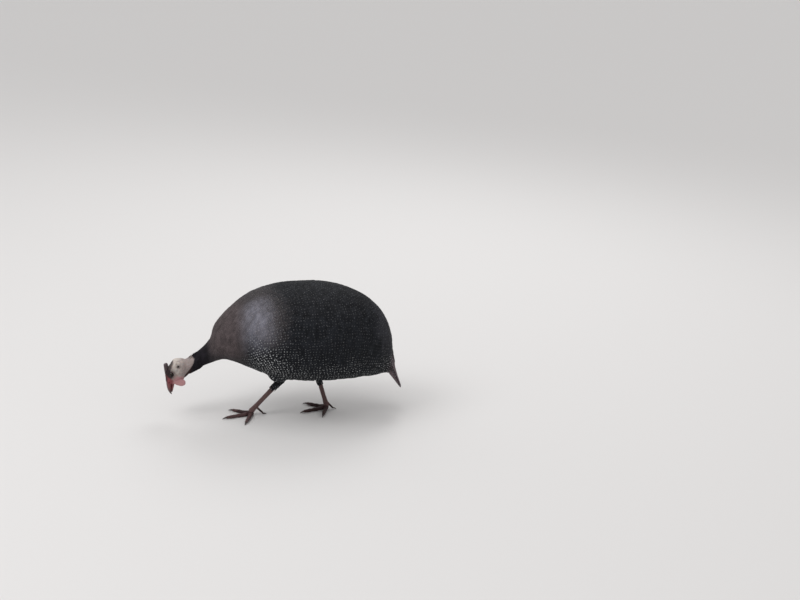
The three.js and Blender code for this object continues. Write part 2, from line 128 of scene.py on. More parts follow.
def points_of(mesh):
    return numbers_of(mesh.vertices, "co", 3)


def normals_of(mesh):
    return numbers_of(mesh.vertex_normals, "vector", 3)


def edges_of(mesh):
    return numbers_of(mesh.edges, "vertices", 2, np.int64)


def triangles_of(mesh):
    mesh.calc_loop_triangles()
    return numbers_of(mesh.loop_triangles, "vertices", 3, np.int64)


def set_points(mesh, points):
    mesh.vertices.foreach_set("co", np.asarray(points, float).ravel())
    mesh.update()


def smooth_faces(mesh):
    mesh.polygons.foreach_set("use_smooth", [True] * len(mesh.polygons))


def store(mesh, name, kind, values):
    """Puts one value per point on a mesh under a name."""
    made = mesh.attributes.new(name, kind, "POINT")
    field = {"FLOAT": "value", "FLOAT_VECTOR": "vector", "FLOAT_COLOR": "color"}[kind]
    made.data.foreach_set(field, np.asarray(values, float).ravel())


def widened(rows, filler=1.0):
    """The rows of an array with one more column."""
    return np.concatenate([rows, np.full((len(rows), 1), filler)], axis=1)


# Smoothing steps: a pair that keeps the volume, and one that evens out
KEEPING = (0.6, -0.61)
EVENING = (0.5,)


def smoothed(rows, edges, rounds, hold=None, steps=KEEPING):
    """Evens out values on a mesh's points. hold is 0 where a point may change, 1 where it stays."""
    out = rows.copy()
    count = len(out)
    ends = np.concatenate([edges, edges[:, ::-1]])
    degree = np.maximum(np.bincount(ends[:, 0], minlength=count), 1)
    free = 1.0 if hold is None else (1.0 - hold)[:, None]
    for _ in range(rounds):
        for step in steps:
            mean = np.stack([
                np.bincount(ends[:, 0], weights=out[ends[:, 1], axis], minlength=count) / degree
                for axis in range(3)
            ], axis=1)
            out += step * free * (mean - out)
    return out


def node_solid(node, grow):
    """A copy of a CAD node's solid, its loose triangles merged, swollen by grow millimetres."""
    bm = bmesh.new()
    bm.from_mesh(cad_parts[node].data)
    bmesh.ops.remove_doubles(bm, verts=bm.verts, dist=1e-6)
    bm.normal_update()
    moves = [v.normal * grow * MM for v in bm.verts]
    for v, move in zip(bm.verts, moves):
        v.co += move
    return bm


def remeshed(nodes, voxel, grow=0.35, extra=()):
    """One closed even mesh over some CAD nodes. voxel is its grid in millimetres."""
    joined = bmesh.new()
    for node in nodes:
        bm = node_solid(node, grow)
        part = bpy.data.meshes.new("part")
        bm.to_mesh(part)
        bm.free()
        joined.from_mesh(part)
        bpy.data.meshes.remove(part)
    for centre, radius in extra:
        bmesh.ops.create_icosphere(
            joined, subdivisions=4, radius=radius * MM, matrix=Matrix.Translation(Vector(to_frame(centre)))
        )
    mesh = bpy.data.meshes.new("rough")
    joined.to_mesh(mesh)
    joined.free()
    rough = add_object("rough", mesh)
    grid = rough.modifiers.new("grid", "REMESH")
    grid.mode = "VOXEL"
    grid.voxel_size = voxel * MM
    fine = plain_mesh(rough)
    drop_object(rough)
    return fine


def ramp(value, low, high):
    """0 below low, 1 above high, smooth between."""
    t = np.clip((np.asarray(value, float) - low) / (high - low), 0, 1)
    return t * t * (3 - 2 * t)


def bump_at(distance, width):
    return np.exp(-(distance / width) ** 2)


def unit(vectors):
    return vectors / np.maximum(np.linalg.norm(vectors, axis=-1, keepdims=True), 1e-9)


def lengths_along(line):
    """How far along a polyline each of its points lies."""
    return np.concatenate([[0], np.cumsum(np.linalg.norm(np.diff(line, axis=0), axis=1))])


def nearest_finder(points):
    """A tree that finds the nearest of some points."""
    tree = KDTree(len(points))
    for i, point in enumerate(points):
        tree.insert(point, i)
    tree.balance()
    return tree


def head_axes(places):
    """Along the bill, across to the crown, and out to the side, in millimetres from between the eyes."""
    away = places - np.array(EYE_LINE)
    return away @ FORE, away @ CROWN, away[:, 0]


def noise_of(places, scale, seed=0.0):
    """Smooth noise from -1 to 1 at each point, for lumps of about scale millimetres."""
    shift = Vector((seed, seed * 1.7, -seed))
    return np.array([noise.noise(Vector(p) / scale + shift) for p in places])


# Skin

BODY_NODES = ["trunk", "wing_left", "wing_right", "thigh_left", "thigh_right", "tail", "neck"]
HEAD_NODES = ["neck", "head", "wattle_left", "wattle_right"]
COAT_DEPTH = 3.9
THIGH_COAT_DEPTH = 2.2
TAIL_ROOT_DEPTH = 4.0
NECK_COAT_DEPTH = 2.0
TAIL_TIP_DEPTH = 0.4
HOCKS = {"left": (17, -45, 79), "right": (-22, 34, 75)}
ANKLES = {"left": (5, -98, 10), "right": (-17, 56, 10)}
KNEES = {"left": (36, -70, 138), "right": (-38, -8, 138)}
TOES = {
    "left": ((68, 42), (16, 51), (-32, 39), (193, 17)),
    "right": ((70, 37), (19, 50), (-34, 41), (172, 17)),
}
NECK_LINE = ((0, -238, 99), (0, -216, 110), (0, -199, 119), (0, -181, 129), (0, -160, 144), (0, -135, 158))
# Where the feathers of the throat end: places along the bill, and across to the crown
THROAT_EDGE = ((-52, -12), (-46, -22), (-42, -30), (-34, -31), (-15, -27), (-5, -24), (4, -25), (12, -44))
# Balls that widen the thigh from the hock up, and that fill the top of the shank: how far up, and the radius
THIGH_BALLS = ((2, 8.0), (6, 10.2), (11, 13.8), (17, 18.0), (25, 22.0))
SHANK_BALLS = ((2, 6.0), (8, 6.3), (14, 6.6), (20, 7.0))
RIGHT_THIGH_GIRTH = 0.9


def from_line(places, line):
    """Distance from a polyline, and how far along it (0 to 1) the nearest place is."""
    line = np.array(line, float)
    best = np.full(len(places), 1e9)
    share = np.zeros(len(places))
    lengths = np.linalg.norm(np.diff(line, axis=0), axis=1)
    starts = lengths_along(line)
    for i, length in enumerate(lengths):
        step = (line[i + 1] - line[i]) / length
        along = np.clip((places - line[i]) @ step, 0, length)
        distance = np.linalg.norm(places - line[i] - along[:, None] * step, axis=1)
        nearer = distance < best
        best[nearer] = distance[nearer]
        share[nearer] = (starts[i] + along[nearer]) / starts[-1]
    return best, share


def on_neck(places):
    """1 on the neck, 0 on the trunk, by the distance from the neck's end."""
    return 1 - ramp(np.linalg.norm(places - np.array(NECK_LINE[0]), axis=1), 42, 92)


def nearest_on_line(places, line):
    _, share = from_line(places, line)
    line = np.array(line, float)
    starts = lengths_along(line)
    return np.stack([np.interp(share * starts[-1], starts, line[:, axis]) for axis in range(3)], axis=1)


def bare_share(places):
    """1 on the bare skin of the head, 0 where feathers grow."""
    fore, crown, out = head_axes(places)
    lowest = np.interp(fore, *np.transpose(THROAT_EDGE))
    bare = ramp(crown - lowest, -1.2, 1.2) * ramp(fore, -50, -46)
    return np.maximum(bare, ramp(fore, -6, -2) * ramp(np.abs(out), 7.5, 9.5))


def on_tail(places):
    return ramp(places[:, 1], 162, 176) * (1 - ramp(places[:, 2], 118, 142))


def on_thigh(places):
    near = np.zeros(len(places))
    for side in SIDES:
        distance, _ = from_line(places, (KNEES[side], HOCKS[side]))
        near = np.maximum(near, 1 - ramp(distance, 16, 30))
    return near * (1 - ramp(places[:, 2], 88, 104))


def pushed_in(mesh, depth):
    points = points_of(mesh)
    set_points(mesh, points - normals_of(mesh) * np.asarray(depth)[:, None] * MM)


def thinned(mesh, share):
    """The same shape with fewer triangles."""
    obj = add_object("thinned", mesh)
    fewer = obj.modifiers.new("fewer", "DECIMATE")
    fewer.ratio = share
    out = plain_mesh(obj)
    drop_object(obj)
    return out


def balls_up_thigh(side, sizes, girth=1.0):
    """Balls on the line from hock to knee. sizes: how far up, and the radius, in millimetres."""
    hock = np.array(HOCKS[side], float)
    up = unit(np.array(KNEES[side]) - hock)
    return [(hock + reach * up, radius * girth) for reach, radius in sizes]


def body_form():
    """Trunk, wings, thighs, tail and neck as one form, inside them by the depth of the coat."""
    balls = balls_up_thigh("left", THIGH_BALLS) + balls_up_thigh("right", THIGH_BALLS, RIGHT_THIGH_GIRTH)
    mesh = remeshed(BODY_NODES, 2.6, grow=0.5, extra=balls)
    edges = edges_of(mesh)
    points = points_of(mesh)
    thin = on_tail(to_bird(points))
    points = smoothed(points, edges, 30, hold=0.75 * thin)
    place = to_bird(points)
    still = np.maximum(np.maximum(thin, on_neck(place)), 1 - ramp(place[:, 2], 100, 125))
    points = smoothed(points, edges, 22, hold=still, steps=EVENING)
    set_points(mesh, points)
    place = to_bird(points)
    depth = COAT_DEPTH - 1.5 * on_neck(place)
    depth -= (depth - THIGH_COAT_DEPTH) * on_thigh(place)
    tail = on_tail(place)
    tip = ramp(place[:, 2], 110, 70)
    depth = depth * (1 - tail) + tail * (TAIL_ROOT_DEPTH * (1 - tip) + TAIL_TIP_DEPTH * tip)
    pushed_in(mesh, depth)
    set_points(mesh, smoothed(points_of(mesh), edges, 8, hold=0.75 * thin))
    return thinned(mesh, 0.45)


def head_form():
    sockets = [((side * EYE_OUT, EYE_LINE[1], EYE_LINE[2]), EYE_RADIUS - 0.9) for side in (1, -1)]
    mesh = remeshed(HEAD_NODES, 0.65, grow=0.3, extra=sockets)
    edges = edges_of(mesh)
    points = smoothed(points_of(mesh), edges, 30)
    set_points(mesh, points)
    distance = np.linalg.norm(to_bird(points) - np.array(NECK_LINE[0]), axis=1)
    behind = ramp(-head_axes(to_bird(points))[0], 24, 34)
    pushed_in(mesh, NECK_COAT_DEPTH * ramp(distance, 6, 22) * behind)
    place = to_bird(points_of(mesh))
    middle = nearest_on_line(place, NECK_LINE)
    slim = 0.8 * ramp(distance, 38, 66) * behind
    set_points(mesh, to_frame(middle + (place - middle) * (1 - slim)[:, None]))
    sculpt_head(mesh)
    return thinned(mesh, 0.5)


def sculpt_head(mesh):
    """Lids, brow, ear opening, cheek, cere and nostrils, and the fine folds of the bare skin."""
    points = points_of(mesh)
    normals = normals_of(mesh)
    fore, crown, out = head_axes(to_bird(points))
    side = np.abs(out)
    near = (fore > -40) & (fore < 26)
    outer = ramp(side, 5, 9)
    around = np.hypot(fore * 0.92, crown * 1.08)
    # Rim of the lids, the groove round it and a fold outside
    lift = outer * 0.85 * bump_at(around - 5.2, 0.85)
    lift -= outer * 0.4 * bump_at(around - 6.9, 0.6)
    lift += outer * 0.3 * bump_at(around - 8.0, 0.7)
    # Brow above the eye, and the hollow in front of it
    lift += outer * 0.9 * bump_at(np.hypot(fore / 2.6, crown - 6.6), 1.5)
    lift -= outer * 0.5 * bump_at(np.hypot(fore - 8.5, crown - 1.0), 2.6)
    # Ear opening with its rim, and the cheek
    ear = np.hypot(fore - EAR_AT[0], (crown - EAR_AT[1]) * 1.15)
    lift += outer * 0.55 * bump_at(ear - 2.9, 0.8)
    lift -= outer * 2.6 * (1 - ramp(ear, 0.9, 2.1))
    lift += outer * 0.9 * bump_at(np.hypot(fore + 5, crown + 15), 7.5)
    # Cere, nostril and the line of the gape
    cere = np.hypot((fore - 16) / 1.3, crown + 1.0)
    lift += ramp(side, 2, 5) * 0.9 * bump_at(cere, 3.6)
    nostril = np.hypot((fore - 18.4) / 2.6, (crown + 1.8) / 1.1)
    lift -= ramp(side, 2.5, 4.5) * 1.9 * (1 - ramp(nostril, 0.4, 1.0))
    gape = np.hypot(np.maximum(0, 14 - fore) / 2.2, (crown + 9.4) / 0.9)
    lift -= ramp(side, 4, 6.5) * 0.5 * bump_at(gape, 0.9) * ramp(fore, 8, 12)
    # Fine folds
    index = np.nonzero(near)[0]
    local = np.stack([fore[index] * 0.55, crown[index] * 1.25, out[index]], axis=1)
    fine = np.zeros(len(points))
    fine[index] = 0.26 * noise_of(local, 1.7) + 0.34 * noise_of(local, 4.5, 3.0)
    lift += fine * ramp(around, 4.2, 6.0) * (1 - 0.5 * ramp(fore, 14, 20))
    moved = points + normals * (lift * near * MM)[:, None]
    # Socket of the eye, and the flat crown behind the casque
    sink = 4.2 * (1 - ramp(np.hypot(fore * 0.95, crown * 1.12), 3.5, 4.5)) * ramp(side, 6, 9)
    moved[:, 0] -= np.sign(out) * sink * MM
    flatter = 2.2 * ramp(crown, 3, 8) * bump_at(fore + 14, 9)
    moved -= flatter[:, None] * CROWN * MM
    set_points(mesh, moved)


def leg_form(side):
    balls = balls_up_thigh(side, SHANK_BALLS)
    mesh = remeshed([f"shank_{side}", f"foot_{side}"], 0.6, grow=0.2, extra=balls)
    points = smoothed(points_of(mesh), edges_of(mesh), 12)
    points[:, 2] = np.maximum(points[:, 2], 0.0)
    set_points(mesh, points)
    return thinned(mesh, 0.7)


def joined_skin(forms):
    """One closed skin from overlapping closed forms."""
    skin = add_object("skin", forms[0])
    others = [add_object("form", mesh) for mesh in forms[1:]]
    for other in others:
        join = skin.modifiers.new("join", "BOOLEAN")
        join.operation = "UNION"
        join.solver = "MANIFOLD"
        join.object = other
    mesh = plain_mesh(skin)
    skin.modifiers.clear()
    skin.data = mesh
    for other in others:
        drop_object(other)
    keep_largest(mesh)
    smooth_faces(mesh)
    return skin


def keep_largest(mesh):
    """Removes slivers that the joining leaves loose inside."""
    bm = bmesh.new()
    bm.from_mesh(mesh)
    seen = set()
    groups = []
    for start in bm.verts:
        if start in seen:
            continue
        seen.add(start)
        group = [start]
        for vert in group:
            for edge in vert.link_edges:
                other = edge.other_vert(vert)
                if other not in seen:
                    seen.add(other)
                    group.append(other)
        groups.append(group)
    groups.sort(key=len)
    for group in groups[:-1]:
        bmesh.ops.delete(bm, geom=group, context="VERTS")
    bm.to_mesh(mesh)
    bm.free()


# Nodes of a material or of a geometry tree, with plain values or other nodes' outputs as inputs

class Wire:
    """What comes out of one node. Sums with it add nodes to its graph."""

    def __init__(self, graph, socket):
        self.graph = graph
        self.socket = socket

    def __add__(self, other):
        return self.graph.math("ADD", self, other)

    def __sub__(self, other):
        return self.graph.math("SUBTRACT", self, other)

    def __rsub__(self, other):
        return self.graph.math("SUBTRACT", other, self)

    def __mul__(self, other):
        return self.graph.math("MULTIPLY", self, other)

    def __truediv__(self, other):
        return self.graph.math("DIVIDE", self, other)

    def __abs__(self):
        return self.graph.math("ABSOLUTE", self)


class Graph:
    """Builds a tree of nodes, with wires or plain values as their inputs."""

    def __init__(self, tree):
        self.tree = tree

    def put(self, socket, value):
        if isinstance(value, Wire):
            self.tree.links.new(value.socket, socket)
        else:
            socket.default_value = value

    def node(self, kind, inputs=None, **settings):
        node = self.tree.nodes.new(kind)
        for name, value in settings.items():
            setattr(node, name, value)
        for name, value in (inputs or {}).items():
            self.put(node.inputs[name], value)
        return node

    def wire(self, kind, inputs=None, output=0, **settings):
        """A new node's output, by its name or number."""
        return Wire(self, self.node(kind, inputs, **settings).outputs[output])

    def math(self, operation, *values):
        return self.wire("ShaderNodeMath", dict(enumerate(values)), operation=operation)

    def vector_math(self, operation, *values):
        return self.wire("ShaderNodeVectorMath", dict(enumerate(values)), operation=operation)

    def scaled(self, vector, factor):
        return self.wire("ShaderNodeVectorMath", {0: vector, "Scale": factor}, operation="SCALE")

    def mixed(self, factor, low, high, blend="MIX"):
        inputs = {0: factor, 6: low, 7: high}
        return self.wire("ShaderNodeMix", inputs, 2, data_type="RGBA", blend_type=blend)

    def painted(self, base, *coats):
        """A colour with others laid over it. coats: pairs of colour and share."""
        for colour, share in coats:
            base = self.mixed(share, base, colour)
        return base

    def between(self, value, low, high):
        """0 at low, 1 at high, smooth between."""
        inputs = {"Value": value, "From Min": low, "From Max": high}
        return self.wire("ShaderNodeMapRange", inputs, interpolation_type="SMOOTHSTEP")

    def noise(self, vector, scale, detail=2.0, roughness=0.5, output="Fac"):
        inputs = {"Vector": vector, "Scale": scale, "Detail": detail, "Roughness": roughness}
        return self.wire("ShaderNodeTexNoise", inputs, output)

    def place(self):
        return self.wire("ShaderNodeTexCoord", output="Object")

    def attribute(self, name, output="Vector"):
        return self.wire("ShaderNodeAttribute", output=output, attribute_name=name)

    def split(self, vector):
        return [Wire(self, s) for s in self.node("ShaderNodeSeparateXYZ", {"Vector": vector}).outputs]

    def joined(self, x, y, z=0.0):
        return self.wire("ShaderNodeCombineXYZ", {"X": x, "Y": y, "Z": z})

    def bump(self, height, strength, distance):
        return self.wire("ShaderNodeBump", {"Height": height, "Strength": strength, "Distance": distance})


def linear(red, green, blue):
    """A screen colour of 0 to 255 as linear light."""
    return tuple(
        (c / 255 / 12.92) if c <= 10.3 else ((c / 255 + 0.055) / 1.055) ** 2.4 for c in (red, green, blue)
    ) + (1.0,)


def material(name, **sockets):
    """A new material, its graph and its shader. sockets: plain values of the shader's inputs."""
    made = bpy.data.materials.new(name)
    made.use_nodes = True
    shader = made.node_tree.nodes["Principled BSDF"]
    for key, value in sockets.items():
        shader.inputs[key.replace("_", " ")].default_value = value
    return made, Graph(made.node_tree), shader


# Feather and skin finishes

DOT_ROW = 5.4
DOT_COLUMN = 5.3


def plumage_material():
    """Dark slate web with paired white dots, fine pale vermiculation, a shaft, and barbs."""
    made, g, shader = material("plumage", Roughness=0.68, Specular_IOR_Level=0.07)

    def from_nearest(value, gap):
        """How far a value is from the nearest whole number of gaps."""
        count = value / gap
        return (count - g.math("ROUND", count)) * gap

    web = g.attribute("place")
    across, back, _ = g.split(web)
    strength, radius, bars = g.split(g.attribute("marks"))
    stretched = g.vector_math("MULTIPLY", g.place(), (1.0, 1.0, 0.4))
    streaks = g.between(g.noise(stretched, 120.0, 3.0, 0.6), 0.34, 0.66)
    ground = g.scaled(g.attribute("ground", "Color"), streaks * 0.52 + 0.74)
    wobble = g.noise(web, 0.55, 1.0)
    drift = g.split(g.noise(g.place(), 260.0, 1.0, output="Color"))
    back = back + (drift[0] - 0.5) * 3.0
    across = across + (drift[1] - 0.5) * 2.6
    strength = strength * g.between(drift[2], 0.3, 0.62)
    from_row = from_nearest(back - DOT_ROW / 2, DOT_ROW)
    from_column = from_nearest(abs(across) - DOT_COLUMN / 2, DOT_COLUMN)
    away = g.math("SQRT", from_row * from_row + from_column * from_column) + (wobble - 0.5) * 0.9
    dot = g.between(away, radius + 0.28, radius - 0.28)
    ring = g.between(away, radius + 1.2, radius + 0.45)
    fleck = g.between(g.noise(web, 1.15, 2.0, 0.6), 0.5, 0.72)
    wave = g.math("SINE", back * 2.9 + wobble * 4.0)
    shaft = g.between(abs(across), 0.42, 0.16)
    colour = g.painted(
        ground,
        (linear(12, 13, 16), ring * strength * 0.7),
        (linear(176, 180, 188), fleck * (1.0 - ring) * (strength * 0.05 + 0.035)),
        (linear(170, 158, 158), g.between(wave, -0.2, 0.6) * bars * 0.3),
        (linear(228, 230, 232), dot * strength),
        (linear(20, 19, 21), shaft * 0.18),
    )
    g.put(shader.inputs["Base Color"], colour)
    barbs = g.math("SINE", back * 15.0 + abs(across) * 13.0 + wobble * 5.0)
    g.put(shader.inputs["Normal"], g.bump(barbs, 0.16, 0.00015))
    return made


def skin_material():
    """Bare skin of the face and legs, and the dark spotted ground under the coat."""
    made, g, shader = material(
        "skin", Specular_IOR_Level=0.2, Subsurface_Weight=0.12,
        Subsurface_Radius=(0.0012, 0.0005, 0.0003), Subsurface_Scale=1.0,
    )
    place = g.place()
    tint = g.attribute("tint", "Color")
    coated, scute, legs = g.split(g.attribute("cover"))
    blotch = g.noise(place, 420.0, 3.0, 0.6)
    grain = g.noise(place, 1500.0, 2.0, 0.6)
    cells = g.wire("ShaderNodeTexVoronoi", {"Vector": place, "Scale": 210.0, "Randomness": 0.35}, "Distance")
    spots = g.between(cells, 0.3, 0.2) * coated * g.attribute("spotted", "Fac")
    seam = g.between(abs(scute - g.math("ROUND", scute)), 0.14, 0.02) * legs
    colour = g.painted(
        tint,
        (g.scaled(tint, 0.62), g.between(blotch, 0.42, 0.68) * 0.45),
        (g.scaled(tint, 1.3), g.between(grain, 0.5, 0.75) * 0.25),
        (linear(215, 217, 220), spots),
        (linear(34, 24, 24), seam * 0.65),
    )
    g.put(shader.inputs["Base Color"], colour)
    g.put(shader.inputs["Roughness"], blotch * 0.2 + 0.5)
    folds = g.wire("ShaderNodeTexVoronoi", {"Vector": place, "Scale": 900.0}, "Distance", feature="SMOOTH_F1")
    g.put(shader.inputs["Normal"], g.bump(folds * 0.8 + blotch * 0.9 - seam * 1.6, 0.7, 0.0005))
    return made


def horn_material(name, pale, deep, grain, gloss=0.42):
    """Horn with streaks and darker growth lines. grain: the pattern's scale along each axis."""
    made, g, shader = material(name, Roughness=gloss, Specular_IOR_Level=0.5)
    squeezed = g.wire("ShaderNodeMapping", {"Vector": g.place(), "Scale": grain})
    streak = g.noise(squeezed, 700.0, 3.0, 0.6)
    patch = g.noise(g.place(), 160.0, 2.0)
    tint = g.attribute("tint", "Color")
    dark, light = (g.mixed(1.0, tint, shade, "MULTIPLY") for shade in (deep, pale))
    g.put(shader.inputs["Base Color"], g.mixed(g.between(streak * 0.6 + patch * 0.6, 0.45, 0.8), dark, light))
    g.put(shader.inputs["Normal"], g.bump(streak, 0.35, 0.0002))
    return made


def eye_material():
    """Black pupil, dark brown iris with radial streaks, wet surface."""
    made, g, shader = material(
        "eye", Roughness=0.12, Specular_IOR_Level=0.16, Coat_Weight=0.12, Coat_Roughness=0.04,
    )
    radius, angle, _ = g.split(g.attribute("place"))
    streak = g.noise(g.joined(angle * 9.0, radius * 0.6), 1.6, 2.0)
    iris = g.mixed(g.between(streak, 0.35, 0.7), linear(28, 17, 13), linear(52, 32, 23))
    colour = g.mixed(g.between(radius, 2.1, 2.4), linear(4, 3, 3), iris)
    colour = g.mixed(g.between(radius, 3.3, 3.9), colour, linear(24, 17, 15))
    g.put(shader.inputs["Base Color"], colour)
    return made


# Tints by place

# Screen colours of 0 to 255, for places on skin, coat and horn

FACE = (188, 179, 172)
FACE_SHADE = (146, 134, 131)
FACE_PINK = (178, 142, 140)
CERE_RED = (126, 66, 70)
WATTLE_RED = (174, 130, 132)
# Dark of the face mask, also used as painted shade at the ear and at the tops of the shanks
MASK_AND_SHADE_DARK = (36, 22, 27)
SHANK = (100, 77, 76)
TOE = (62, 40, 41)
FLANK_SLATE = (25, 27, 31)
BACK_SLATE = (28, 29, 32)
# Painted shade: the slate darker low on the body
LOW_BODY_PAINTED_SHADE = (20, 23, 26)
RUMP_GREY = (50, 50, 55)
# Painted highlight: the pale blue-grey patch at the front of the folded wing
SHOULDER_HIGHLIGHT_BLUE = (104, 105, 116)
COLLAR_LILAC = (62, 54, 55)
COLLAR_SHADE = (32, 31, 34)
NECK_DARK = (24, 21, 26)
THROAT_BROWN = (58, 40, 38)
TAIL_BROWN = (84, 73, 77)
TAIL_QUILL = (92, 78, 82)
BILL_SIDE = (118, 64, 66)
BILL_RIDGE_DARK = (70, 48, 52)
BILL_MIDDLE = (92, 64, 66)
BILL_TIP = (70, 56, 60)
CASQUE_ROOT = (60, 44, 49)
CASQUE_TIP = (72, 58, 66)
CLAW = (58, 46, 44)

SHANK_SCUTE = 3.3
TOE_SCUTE = 2.7
# The ridge of the bill: places along the bill, and across to the crown
BILL_RIDGE = ((9, 7.5), (20, 4.0), (31, -2.2), (38, -9.0), (42.4, -16.0))


def plain(colour, count):
    return np.tile(np.array(linear(*colour)[:3]), (count, 1))


def painted(colours, *coats):
    """Colours with others laid over them. coats: pairs of a screen colour and its share at each place."""
    for colour, share in coats:
        colours = colours * (1 - share[:, None]) + np.array(linear(*colour))[None, :3] * share[:, None]
    return colours


def on_shoulder_highlight(places):
    """1 in the painted highlight, a pale patch at the front of the folded wing, 0 well away from it."""
    away = np.hypot((places[:, 1] + 110) / 34, (places[:, 2] - 212) / 52)
    return 1 - ramp(away, 0.25, 1.5)


def plumage_ground(places):
    """The coat's ground colour at each place: slate, with a painted blue-grey highlight at the shoulder and
    painted shade low on the body, brown-lilac on the collar.
    """
    x, y, z = places.T
    collar = ramp(-y, 114, 146) * (1 - ramp(-y, 182, 199))
    high = ramp(z, 112, 150)
    return painted(
        plain(FLANK_SLATE, len(places)),
        (BACK_SLATE, ramp(z, 205, 250)),
        # Painted shade: the ground darkens towards the bottom of the body
        (LOW_BODY_PAINTED_SHADE, 0.8 * (1 - ramp(z, 95, 185))),
        (RUMP_GREY, 0.8 * ramp(y, 110, 155) * ramp(z, 120, 170)),
        # Painted highlight: the shoulder patch, on the outward sides only
        (SHOULDER_HIGHLIGHT_BLUE, 0.72 * on_shoulder_highlight(places) * ramp(np.abs(x), 14, 44)),
        (COLLAR_LILAC, 0.9 * collar * high),
        (COLLAR_SHADE, 0.8 * collar * (1 - high)),
        (NECK_DARK, ramp(-y, 178, 197)),
        (THROAT_BROWN, 0.9 * ramp(-y, 214, 224) * (1 - ramp(z, 112, 124))),
        (TAIL_BROWN, 0.85 * on_tail(places)),
    )


def plumage_marks(places):
    """Dot strength, dot radius in millimetres and bar strength at each place."""
    _, y, z = places.T
    low = 1 - ramp(z, 95, 165)
    collar = ramp(-y, 122, 148)
    front_flank = bump_at(np.hypot(y + 98, z - 138), 36)
    strength = 0.10 + 0.34 * low + 0.44 * front_flank
    strength *= 1 - 0.97 * collar
    strength *= 1 - 0.4 * on_tail(places)
    radius = 0.82 + 0.2 * low + 0.42 * front_flank
    # Bars are strong over the painted shoulder highlight, to break it up
    bars = 0.45 * collar * (1 - ramp(-y, 182, 200)) + 0.16 * ramp(y, 120, 165) + 0.8 * on_shoulder_highlight(places)
    return np.stack([np.clip(strength, 0, 1), radius, bars], axis=1)


def on_culmen(fore, crown):
    """1 along the ridge of the bill and the front of the head above it."""
    return 1 - ramp(np.interp(fore, *np.transpose(BILL_RIDGE)) - crown, 1.2, 4.2)


def face_colours(places):
    """Pale mottled face, dark mask round the eye and over the crown, painted shade at the ear, red cere and
    wattles.
    """
    fore, crown, out = head_axes(places)
    mask = 1.25 * bump_at(np.hypot((fore - 3.0) / 1.4, crown - 3.0), 7.0) ** 0.6
    front = ramp(crown, 2.0, 6.0) * ramp(fore, -12, -4) * (1 - ramp(fore, 9, 14))
    ear = np.hypot(fore - EAR_AT[0], crown - EAR_AT[1])
    return painted(
        plain(FACE_SHADE, len(places)),
        (FACE, ramp(crown + 0.15 * fore, -24, -2)),
        (FACE_SHADE, 0.7 * ramp(noise_of(places, 5.0, 2.0), 0.0, 0.45)),
        (FACE_PINK, 0.75 * ramp(fore, -6, 4) * (1 - ramp(crown, -8, 0))),
        (MASK_AND_SHADE_DARK, np.clip(np.maximum(mask, front), 0, 0.97)),
        (MASK_AND_SHADE_DARK, 0.85 * ramp(crown, 3.4, 5.8) * ramp(fore, -27, -21)),
        (CERE_RED, ramp(fore + 0.25 * crown, 6.5, 11) * ramp(crown, -16, -7)),
        (MASK_AND_SHADE_DARK, 0.8 * on_culmen(fore, crown) * ramp(fore, 6, 10)),
        (WATTLE_RED, ramp(np.hypot(fore - 11, crown + 20), 15, 10)),
        # Painted shade: darker in and round the ear opening
        (MASK_AND_SHADE_DARK, 0.85 * bump_at(ear, 3.6) * ramp(np.abs(out), 6, 9)),
    )


def leg_colours(places, tint):
    """The tint with shanks and toes painted in, painted shade at the top of the shanks, the share on the
    legs, and the scutes counted along them.
    """
    legs = np.zeros(len(places))
    scute = np.zeros(len(places))
    for side in SIDES:
        distance, share = from_line(places, (HOCKS[side], ANKLES[side]))
        on = (1 - ramp(distance, 7.5, 10)) * (1 - ramp(places[:, 2], 84, 92))
        # Painted shade: the top of each shank is darkened under the thigh feathers
        tint = painted(tint, (SHANK, on), (MASK_AND_SHADE_DARK, on * 0.8 * (1 - ramp(share, 0.12, 0.42))))
        legs = np.maximum(legs, on)
        scute = np.where(on > 0.5, share * math.dist(HOCKS[side], ANKLES[side]) / SHANK_SCUTE, scute)
        nearest = distance
        for turn, bare_length in TOES[side]:
            length = bare_length + 8
            angle = math.radians(turn)
            start = np.array([*ANKLES[side][:2], 4.0])
            end = start + np.array([math.sin(angle), -math.cos(angle), 0]) * length
            distance, share = from_line(places, (start, end))
            on = (distance < 9) & (distance < nearest + 0.5) & (places[:, 2] < 14)
            nearest = np.where(on, np.minimum(nearest, distance), nearest)
            tint = painted(tint, (TOE, on * 0.85))
            legs = np.maximum(legs, on)
            scute = np.where(on, share * length / TOE_SCUTE, scute)
    return tint, legs, scute


def colour_skin(skin):
    """Stores tint, cover (coated, scute count, on the legs) and spotted on the skin."""
    mesh = skin.data
    places = to_bird(points_of(mesh))
    bare = bare_share(places)[:, None]
    tint = plumage_ground(places) * (1 - bare) + face_colours(places) * bare
    tint, legs, scute = leg_colours(places, tint)
    coated = (1 - bare[:, 0]) * (1 - legs)
    store(mesh, "tint", "FLOAT_COLOR", widened(tint))
    store(mesh, "cover", "FLOAT_VECTOR", np.stack([coated, scute, legs], axis=1))
    store(mesh, "spotted", "FLOAT", plumage_marks(places)[:, 0])


# Rows of the coat: how many feather rows lie between the head and each place on the body

def row_gap(places):
    """Millimetres from one row of feathers to the next."""
    return 10.6 - 6.6 * ramp(-places[:, 1], 110, 205) - 3.6 * on_thigh(places) - 2.6 * on_tail(places)


